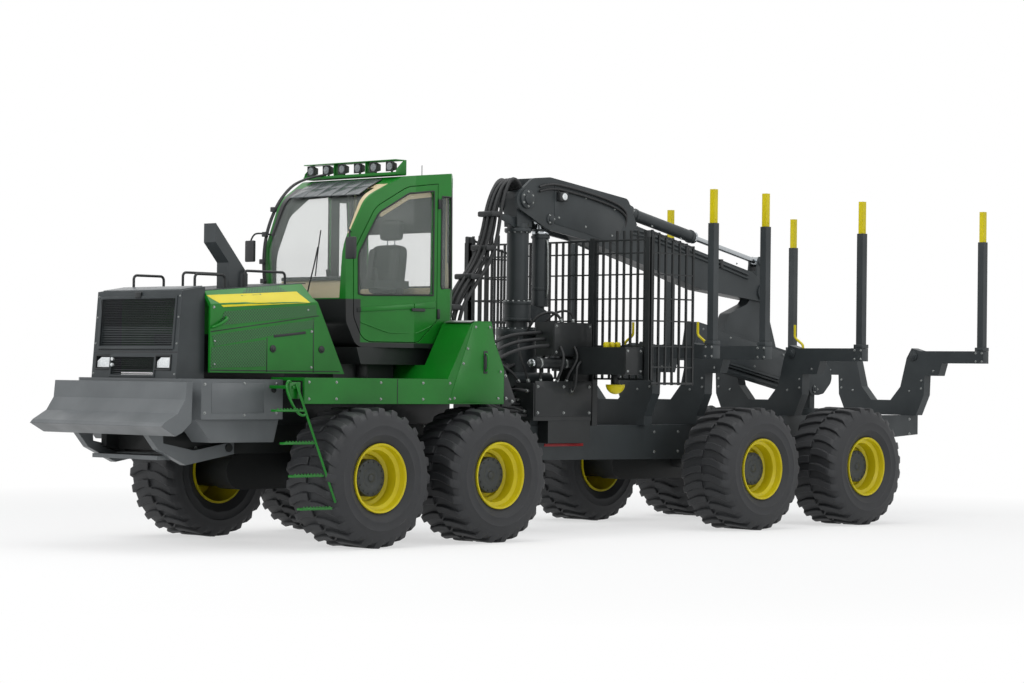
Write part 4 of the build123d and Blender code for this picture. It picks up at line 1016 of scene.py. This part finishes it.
# Round bosses with their bolts on the pins across the crane: place, face, radius, body, bolts and rise
bosses = {
    "boom_pin_boss": (0.48, 3.60, 0.149, 0.105, "main_boom", 6, 0.022),
    "lift_pin_boss": (liftX, 3.40, 0.149, 0.06, "main_boom", 3, 0.014),
    "jib_foot_boss": (-1.23, 3.56, 0.111, 0.055, "main_boom", 3, 0.014),
    "elbow_boss": (-3.583, 2.70, 0.112, 0.10, "main_boom", 6, 0.022),
    "jib_eye_boss": (-3.60, 3.07, 0.075, 0.058, "outer_boom", 3, 0.012),
    "tip_pin_boss": (-4.62, 1.56, 0.089, 0.05, "extension", 3, 0.012),
}
for name, (x, z, face, radius, body, bolts, rise) in bosses.items():
    addPair(addBar, name, ((x, face, z), (x, face + rise, z)), radius, body, grey, 40, 0.004, 0.55)
    for label, side in sides:
        spots = circle(x, side * (face + rise), z, radius * 0.74, bolts, False, 0.5)
        addBolts(f"{name}_{label}_bolts", spots, (0, side, 0), body, 0.010)
# weld plates and bolts on the boom's cheeks and beam
cheek = ((0.05, 3.77), (0.05, 3.35), (-0.45, 3.27), (-0.95, 3.16), (-1.10, 3.45), (-0.98, 3.62),
         (-0.35, 3.73))
cheekBolts = ((-0.02, 3.72), (-0.02, 3.42), (-0.45, 3.66), (-0.45, 3.34), (-0.88, 3.26), (-0.92, 3.56))
beamBolts = ((-1.6, 3.40), (-2.1, 3.28), (-2.6, 3.17), (-3.1, 3.03))
addPair(addPlate, "boom_cheek_plate", atY(0.1505, *cheek), 0.008, "main_boom", grey, 0.003)
addSideBolts("boom_cheek_bolts", atY(0.1545, *cheekBolts), "main_boom", 0.010)
addSideBolts("boom_beam_bolts", atY(0.112, *beamBolts), "main_boom", 0.009)
addBlock("boom_lamp_housing", ((-0.10, 0.152, 3.60), (0.02, 0.215, 3.70)), "main_boom", plastic, 0.008)
addBar("boom_lamp_lens", ((-0.045, 0.213, 3.65), (-0.045, 0.222, 3.65)), 0.038, "main_boom", "frostedLens",
       28)
jibStart = Vector((-1.23, 0, 3.56))
jibAlong = (Vector((-3.60, 0, 3.07)) - jibStart).normalized()
for count, (reach, radius,
            material) in enumerate(((1.16, 0.078, grey), (1.215, 0.072, chrome), (0.18, 0.076, grey))):
    start = jibStart + jibAlong * reach
    addBar(f"jib_cylinder_band_{count + 1}", (start, start + jibAlong * 0.03), radius, "jib_barrel",
           material, 36, 0.004)
# steel pipes along the boom's beam with their clamps
beamPipe = ((-1.05, 3.30), (-1.35, 3.31), (-1.8, 3.20), (-2.5, 3.05), (-3.0, 2.93), (-3.3, 2.86))
for count, lift in enumerate((0.0, 0.045)):
    addPair(addPipe, f"boom_pipe_{count + 1}", [(x, 0.122, z + lift) for x, z in beamPipe], 0.013,
            "main_boom", grey)
for count, (x, z) in enumerate(((-1.6, 3.285), (-2.2, 3.145), (-2.8, 3.01))):
    addPair(addBlock, f"boom_pipe_clamp_{count + 1}",
            ((x - 0.025, 0.111, z - 0.04), (x + 0.025, 0.142, z + 0.06)), "main_boom", black, 0.006)
print("crane dressed")

# Hoses over the crane's head and down its front, from the column's head to the slewing base:
# how far aside each runs, how far out, and its diameter
headHoses = ((0.085, 0.0, 0.042), (0.045, 0.05, 0.038), (0.0, 0.10, 0.042), (-0.045, 0.14, 0.036),
             (-0.09, 0.03, 0.042), (0.065, 0.17, 0.034), (0.02, 0.20, 0.036), (-0.07, 0.11, 0.034))
for count, (y, out, diameter) in enumerate(headHoses):
    route = [(0.50, y, 3.70), (0.55, y, 3.80), (0.68 + out * 0.4, y, 3.82 - out * 0.2),
             (0.81 + out * 0.5, y * 1.1, 3.56 - out * 0.1), (0.87 + out * 0.6, y * 1.2, 3.20),
             (0.99 + out * 0.7, y * 1.3, 2.90), (1.22 + out * 0.7, y * 1.3, 2.64),
             (1.42 + out * 0.5, y * 1.4, 2.40),
             (1.50 + out * 0.3, y * 1.6, 2.14), (1.44 + out * 0.2, y * 1.8, 1.88), (1.24, y * 1.8, 1.72),
             (1.02, y * 1.7, 1.68), (0.84, y * 1.6, 1.72),
             (0.465 + math.sqrt(0.0441 - (y * 1.5) ** 2), y * 1.5, 1.80)]
    addHose(f"crane_hose_{count + 1}", route, diameter, "crane_column")
# moulded clamps hold the bundle together on its way down
clamps = ((0.865, 3.42, 0.122), (0.955, 3.05, 0.132), (1.19, 2.735, 0.138), (1.475, 2.40, 0.148))
for count, (x, z, width) in enumerate(clamps):
    addBlock(f"hose_clamp_{count + 1}",
             ((x - 0.045, -width, z - 0.03), (x + 0.105, width - 0.01, z + 0.03)),
             "crane_column", plastic, 0.016)
addPlate("hose_carrier", atY(0.06, (0.56, 3.40), (0.84, 3.44), (0.84, 3.39), (0.57, 3.28)), 0.02,
         "crane_column", grey, 0.004)
# hoses along the boom's cheeks, from the head to the jib cylinder
for count, lift in enumerate((0.0, 0.05)):
    addPair(addHose, f"boom_hose_{count + 1}",
            [(0.30, 0.165, 3.74 - lift), (0.15, 0.17, 3.79 - lift), (-0.20, 0.17, 3.76 - lift),
             (-0.70, 0.168, 3.68 - lift), (-1.02, 0.166, 3.60 - lift), (-1.15, 0.155, 3.50 - lift),
             (-1.10, 0.135, 3.38 - lift * 0.6)], 0.026, "main_boom")
print("crane hoses made")

# Valve block, tank and boxes round the crane's foot
addPlate("valve_cover", atY(0.612, (-0.08, 1.63), (0.80, 1.63), (0.80, 1.59), (0.80, 1.25), (-0.08, 1.25)),
         0.012, rear, black, 0.004)
addPlate("upper_box_cover", atY(0.603, (-0.085, 1.91), (0.505, 1.91), (0.505, 2.25), (-0.085, 2.25)), 0.01,
         rear, black, 0.004)
addPlate("tank_lid_band", atY(1.342, (-0.09, 1.72), (0.175, 1.72), (0.175, 1.985), (-0.09, 1.985)), 0.008,
         rear, black)
for name, y, spots, radius in (
    ("valve_cover_bolts", 0.619, [(x, z) for x in (-0.04, 0.76, 0.36) for z in (1.29, 1.57)], 0.012),
    ("upper_box_bolts", 0.609, [(x, z) for x in (-0.05, 0.47) for z in (1.94, 2.22)], 0.011),
    ("tank_bolts", 1.347, [(x, z) for x in (-0.06, 0.145) for z in (1.745, 1.96)], 0.010),
):
    addBolts(name, atY(y, *spots), (0, 1, 0), rear, radius)
# an accumulator with its straps, end and sensor, along the machine:
# start, end, radius, material, corners and bevel
for name, x0, x1, radius, material, corners, bevel in (
    ("accumulator_strap_1", 0.27, 0.30, 0.062, zinc, 32, 0.003),
    ("accumulator_strap_2", 0.66, 0.69, 0.062, zinc, 32, 0.003),
    ("accumulator_end", 0.755, 0.80, 0.045, chrome, 32, 0.008),
    ("pressure_sensor", 0.80, 0.835, 0.02, zinc, 24, 0.003),
):
    addBar(name, ((x0, 0.545, 1.82), (x1, 0.545, 1.82)), radius, rear, material, corners, bevel)
domeLook = {"place": (-0.15, 0.90, 1.60), "radius": 0.105}
clearSelection()
bpy.ops.mesh.primitive_uv_sphere_add(segments=32, ring_count=16, radius=domeLook["radius"],
                                     location=domeLook["place"])
dome = bpy.context.object
applyPlace()
bpy.ops.object.mode_set(mode="EDIT")
bpy.ops.mesh.select_all(action="SELECT")
bpy.ops.mesh.bisect(plane_co=domeLook["place"], plane_no=(0, 0, 1), use_fill=True, clear_outer=True)
settle(dome, "yellow_dome", rear, yellow, 0.003)
addBar("dome_neck", ((-0.15, 0.90, 1.595), (-0.15, 0.90, 1.71)), 0.05, rear, black, 28)
for count, x in enumerate((-0.05, 0.04, 0.13)):
    addBar(f"filler_cap_{count + 1}", ((x, 1.02, 1.998), (x, 1.02, 2.05)), 0.032, rear, yellow, 24, 0.005,
           0.7)
# hoses that leave the valve block
valveHoses = (
    ((0.60, 0.50, 1.61), (0.60, 0.50, 1.70), (0.575, 0.47, 1.78), (0.52, 0.43, 1.84), (0.48, 0.42, 1.87),
     (0.46, 0.42, 1.90)),
    ((0.70, 0.42, 1.61), (0.72, 0.40, 1.72), (0.74, 0.34, 1.86), (0.72, 0.28, 2.0), (0.66, 0.22, 2.06),
     (0.60, 0.16, 2.09)),
    ((0.78, 0.36, 1.61), (0.84, 0.34, 1.70), (0.90, 0.24, 1.78), (0.86, 0.12, 1.84), (0.76, 0.05, 1.86),
     (0.675, 0.02, 1.86)),
    ((0.30, 0.59, 1.61), (0.30, 0.62, 1.70), (0.26, 0.66, 1.78), (0.22, 0.68, 1.86), (0.20, 0.66, 1.94),
     (0.20, 0.613, 2.0)),
    ((0.45, 0.59, 1.61), (0.46, 0.63, 1.68), (0.46, 0.68, 1.76), (0.44, 0.69, 1.86), (0.42, 0.66, 1.94),
     (0.42, 0.613, 2.0)),
    ((0.26, 0.613, 1.52), (0.26, 0.67, 1.54), (0.27, 0.71, 1.62), (0.27, 0.72, 1.72), (0.25, 0.71, 1.80),
     (0.185, 0.70, 1.84)),
    ((0.825, 0.50, 1.30), (0.90, 0.50, 1.32), (0.95, 0.42, 1.34), (0.94, 0.31, 1.35), (0.84, 0.25, 1.34),
     (0.70, 0.23, 1.32)),
    ((0.825, 0.40, 1.42), (0.92, 0.40, 1.44), (0.99, 0.28, 1.44), (0.96, 0.12, 1.40), (0.86, 0.06, 1.36),
     (0.70, 0.05, 1.34)),
    ((0.825, 0.54, 1.52), (0.89, 0.54, 1.53), (0.94, 0.46, 1.54), (0.93, 0.32, 1.53), (0.84, 0.23, 1.50),
     (0.70, 0.20, 1.46)),
    ((0.825, -0.50, 1.40), (0.92, -0.48, 1.42), (0.98, -0.36, 1.44), (0.96, -0.18, 1.42),
     (0.86, -0.10, 1.38), (0.70, -0.08, 1.34)),
    ((0.30, 0.52, 2.264), (0.32, 0.50, 2.34), (0.40, 0.44, 2.38), (0.50, 0.36, 2.34), (0.55, 0.27, 2.22),
     (0.545, 0.197, 2.10)),
    ((0.10, 0.50, 2.264), (0.10, 0.50, 2.35), (0.16, 0.45, 2.40), (0.26, 0.37, 2.37), (0.35, 0.28, 2.24),
     (0.38, 0.197, 2.10)),
)
for count, route in enumerate(valveHoses):
    addHose(f"valve_hose_{count + 1}", route, 0.026 if count % 2 else 0.03, rear)
    start, towards = Vector(route[0]), Vector(route[1])
    addBar(f"valve_hose_end_{count + 1}", (start, start + (towards - start).normalized() * 0.04), 0.02,
           rear, zinc, 12, 0.002)
# loops that leave room for the frame's hinge, from the crane's foot round to the boxes
for count in range(5):
    y, z = 0.10 + 0.035 * count, 1.46 - 0.04 * count
    addHose(f"hinge_hose_{count + 1}",
            ((0.70, y, z), (0.90, y + 0.02, z + 0.06), (1.15, y + 0.06, z + 0.22),
            (1.36, y + 0.10, z + 0.34), (1.47, y + 0.16, z + 0.28), (1.44, y + 0.22, z + 0.12),
            (1.28, y + 0.25, z + 0.02), (1.05, y + 0.26, z - 0.03), (0.825, y + 0.27, z - 0.04)), 0.030,
            rear)
# each point of a supply hose has its place on the first hose, and the step aside and down to the next one
supplyRun = ((0.525, 0.42, 2.15, 0.06, 0.07), (0.75, 0.42, 2.14, 0.06, 0.07),
             (1.05, 0.40, 2.10, 0.05, 0.08),
             (1.32, 0.38, 1.98, 0.05, 0.08), (1.46, 0.33, 1.80, 0.04, 0.07), (1.42, 0.28, 1.60, 0.03, 0.06),
             (1.20, 0.24, 1.48, 0.02, 0.05), (0.95, 0.22, 1.42, 0.02, 0.04), (0.70, 0.20, 1.38, 0.02, 0.04))
for count in range(3):
    addHose(f"supply_hose_{count + 1}", [(x, y + aside * count, z - down * count)
                                         for x, y, z, aside, down in supplyRun], 0.038, rear)
# hoses that leave the cab's rear and drop behind the cowl, on the front frame
for count in range(6):
    y, sag = 0.50 - 0.09 * count, 0.03 * (count % 3)
    addHose(f"cab_hose_{count + 1}",
            ((2.125, y, 2.42 + sag), (2.04, y, 2.42 + sag), (1.96 - sag, y + 0.01, 2.34),
            (1.90 - sag, y + 0.02, 2.18), (1.86 - sag, y + 0.01, 2.0), (1.84 - sag, y, 1.80),
             (1.86, y, 1.72),
            (1.94, y, 1.66), (2.04, y, 1.68), (2.14, y, 1.76), (2.226, y, 1.85)),
            0.030 if count % 2 else 0.026, front)
addBlock("cab_hose_bulkhead", ((2.085, 0.02, 2.36), (2.13, 0.57, 2.52)), front, black, 0.006)
addBlock("cab_hose_clamp", ((1.80, 0.02, 1.99), (1.90, 0.58, 2.03)), front, plastic, 0.01)
print("valves and hoses made")

# Frames: red strip, guards and bolts
addBlock("red_strip", ((-0.13, 0.4485, 0.925), (0.482, 0.4545, 0.955)), rear, "redEnamel", 0.001)
addPair(addBlock, "belly_guard", ((1.95, 0.485, 1.18), (4.62, 0.50, 1.50)), front, black)
addSideBolts("rear_frame_bolts", atY(0.4505, *[(x, z) for x in (-1.3, -1.7, -2.1) for z in (0.85, 1.07)],
                                     *[(x, z) for x in (-3.5, -4.4, -5.3, -6.05) for z in (1.02, 1.2)]),
             rear, 0.013)
addSideBolts("front_frame_bolts",
             atY(0.4805, *[(x, z) for x in (2.0, 2.3, 5.0, 5.3) for z in (0.96, 1.15)]), front, 0.013)

# Bunks: collar, end cap, bolts and round pivot boss at each arm, and a handle on two of them
bunkLook = {"rows": (-1.081, -1.971, -3.722, -6.12), "stakeY": 1.474, "bossY": 0.50,
            "bolts": ((0.62, 1.58), (0.62, 1.68), (0.80, 1.80), (0.44, 1.55)),
            "handle": ((0.62, 2.046), (0.62, 2.075), (0.60, 2.10), (0.52, 2.15), (0.495, 2.18),
                       (0.495, 2.22), (0.495, 2.32))}
stakeY, bossY = bunkLook["stakeY"], bunkLook["bossY"]
for count, x in enumerate(bunkLook["rows"]):
    for name, side in sides:
        label = f"{count + 1}_{name}"
        collar = startCube((x, side * stakeY, 2.068), (0.124, 0.124, 0.044))
        chooseFaces(collar, across(0, 0, 1))
        inset((0.0195, 0))
        bpy.ops.mesh.bridge_edge_loops()
        settle(collar, f"stake_collar_{label}", rear, grey)
        addBolts(f"stake_collar_bolts_{label}",
                 [(x + 0.066, side * stakeY + d, z) for d in (-0.045, 0.045) for z in (1.92, 2.02)],
                 (1, 0, 0), rear)
        for end, out in (("front", 1), ("rear", -1)):
            face = x + out * 0.065
            addBar(f"bunk_boss_{end}_{label}",
                   ((face, side * bossY, 1.985), (face + out * 0.014, side * bossY, 1.985)),
                   0.058, rear, grey, 32, 0.004, 0.6)
            addBolts(f"bunk_bolts_{end}_{label}", [(face, side * y, z) for y, z in bunkLook["bolts"]],
                     (out, 0, 0), rear)
    # end cap of the arm, welded on
    addPair(addBlock, f"bunk_arm_end_{count + 1}", ((x - 0.058, 1.5275, 1.90), (x + 0.058, 1.5345, 2.04)),
            rear, grey, 0.003)
for count, x in enumerate(bunkLook["rows"][1:3]):
    addPair(addPipe, f"stake_handle_{count + 1}", [(x, y, z) for y, z in bunkLook["handle"]], 0.015, rear,
            yellow)
# stake tips: a bolt through each yellow sleeve
addSideBolts("stake_tip_bolts", [(x, stakeY + 0.031, 3.42) for x in bunkLook["rows"]], rear, 0.010, yellow)
print("bunks dressed")

# Gate: corner posts, and rails, feet and stays on the wings
addPair(addBlock, "gate_corner_post", ((-0.185, 1.35, 1.648), (-0.115, 1.41, 3.255)), rear, black, 0.006)
for name, y, outline, thick, bevel in (
    ("gate_wing_rail", 1.41, ((-0.15, 3.25), (-0.822, 3.10), (-0.822, 3.075), (-0.15, 3.225)), 0.022,
     0.003),
    ("gate_wing_foot", 1.41, ((-0.15, 1.63), (-0.83, 1.63), (-0.83, 1.605), (-0.15, 1.605)), 0.022, 0.003),
    ("gate_stay", 0.57, ((-0.11, 1.30), (-0.11, 1.62), (-0.07, 1.62), (0.10, 1.30)), 0.02, 0.004),
):
    addPair(addPlate, name, atY(y, *outline), thick, rear, black, bevel)
print("gate dressed")

# Outer boom: plates, bolts and pipes, by their distance along it and height over its middle
stickLook = {"start": (-2.40, 0, 2.15), "slope": math.radians(10.8)}
stickStart, slope = Vector(stickLook["start"]), stickLook["slope"]
stickAlong = Vector((-math.cos(slope), 0, -math.sin(slope)))
stickUp = Vector((-math.sin(slope), 0, math.cos(slope)))


def onStick(y, *spots):
    return [stickStart + stickAlong * reach + stickUp * height + Vector((0, y, 0)) for reach,
            height in spots]


addPair(addPlate, "stick_side_plate",
        onStick(0.1005, (0.03, -0.155), (1.70, -0.155), (1.70, 0.155), (0.03, 0.155)),
        0.006, "outer_boom", grey, 0.002)
addSideBolts("stick_bolts",
             onStick(0.1035, *[(d, h) for d in (0.10, 0.6, 1.1, 1.6) for h in (-0.12, 0.12)]),
             "outer_boom", 0.010)
addPair(addPipe, "stick_pipe", onStick(0.07, (0.25, -0.2), (0.5, -0.2), (1.0, -0.2), (1.65, -0.2)), 0.014,
        "outer_boom", grey)
print("outer boom dressed")

# Floor and light: a white studio whose floor runs into the background and keeps the shadow
stageLook = {"floorSize": 400.0, "floor": "#F4F4F4", "world": 0.5, "near": 5.0, "far": 12.0, "lift": 0.6,
             "lights": (("overheadSoftbox", (1, 1, 11), (0, 0, 0), (14, 9), 720),
                        ("keySoftbox", (15, 3, 8), (2, 0, 1), (6, 5), 640),
                        ("sideSoftbox", (-4, 16, 6), (-1, 0, 1), (9, 4), 300))}


# 1 for the camera's own rays and for those it sees in or through a piece
def seenRays(tree):
    rays = addNode(tree, "ShaderNodeLightPath").outputs
    return mathNode(tree, "MAXIMUM", rays["Is Camera Ray"],
                    mathNode(tree, "MAXIMUM", rays["Is Transmission Ray"], rays["Is Glossy Ray"]))


clearSelection()
bpy.ops.mesh.primitive_plane_add(size=stageLook["floorSize"], location=(0, 0, 0))
floor = bpy.context.object
floor.name = "studioFloor"
floorMaterial, tree, shader, place = startMaterial("studioPaper", Roughness=0.9)
shader.inputs["Base Color"].default_value = linear(stageLook["floor"])
shader.inputs["Specular IOR Level"].default_value = 0.1
away = addNode(tree, "ShaderNodeVectorMath", {"operation": "LENGTH"}, {0: place}).outputs["Value"]
share = mathNode(tree, "MULTIPLY", seenRays(tree),
                 rampNode(tree, away, stageLook["near"], stageLook["far"], stageLook["lift"], 1.0))
bright = addNode(tree, "ShaderNodeEmission", None, {"Color": (1, 1, 1, 1), "Strength": 1.0})
blendShader = addNode(tree, "ShaderNodeMixShader", None,
                      {0: share, 1: shader.outputs["BSDF"], 2: bright.outputs[0]})
output = next(n for n in tree.nodes if n.bl_idname == "ShaderNodeOutputMaterial")
tree.links.new(blendShader.outputs[0], output.inputs["Surface"])
floor.data.materials.append(floorMaterial)

world = bpy.data.worlds.new("studio")
scene.world = world
world.use_nodes = True
tree = world.node_tree
tree.nodes.clear()
soft = addNode(tree, "ShaderNodeBackground", None,
               {"Color": linear("#F4F6F8"), "Strength": stageLook["world"]})
white = addNode(tree, "ShaderNodeBackground", None, {"Color": (1, 1, 1, 1), "Strength": 1.0})
both = addNode(tree, "ShaderNodeMixShader", None,
               {0: seenRays(tree), 1: soft.outputs[0], 2: white.outputs[0]})
addNode(tree, "ShaderNodeOutputWorld", None, {"Surface": both.outputs[0]})


def addLight(name, place, target, size, power):
    light = bpy.data.lights.new(name, "AREA")
    light.shape = "RECTANGLE"
    light.size, light.size_y = size
    light.energy = power
    lamp = bpy.data.objects.new(name, light)
    scene.collection.objects.link(lamp)
    lamp.location = place
    lamp.rotation_euler = (Vector(target) - Vector(place)).to_track_quat("-Z", "Y").to_euler()


for light in stageLook["lights"]:
    addLight(*light)
print("stage set")
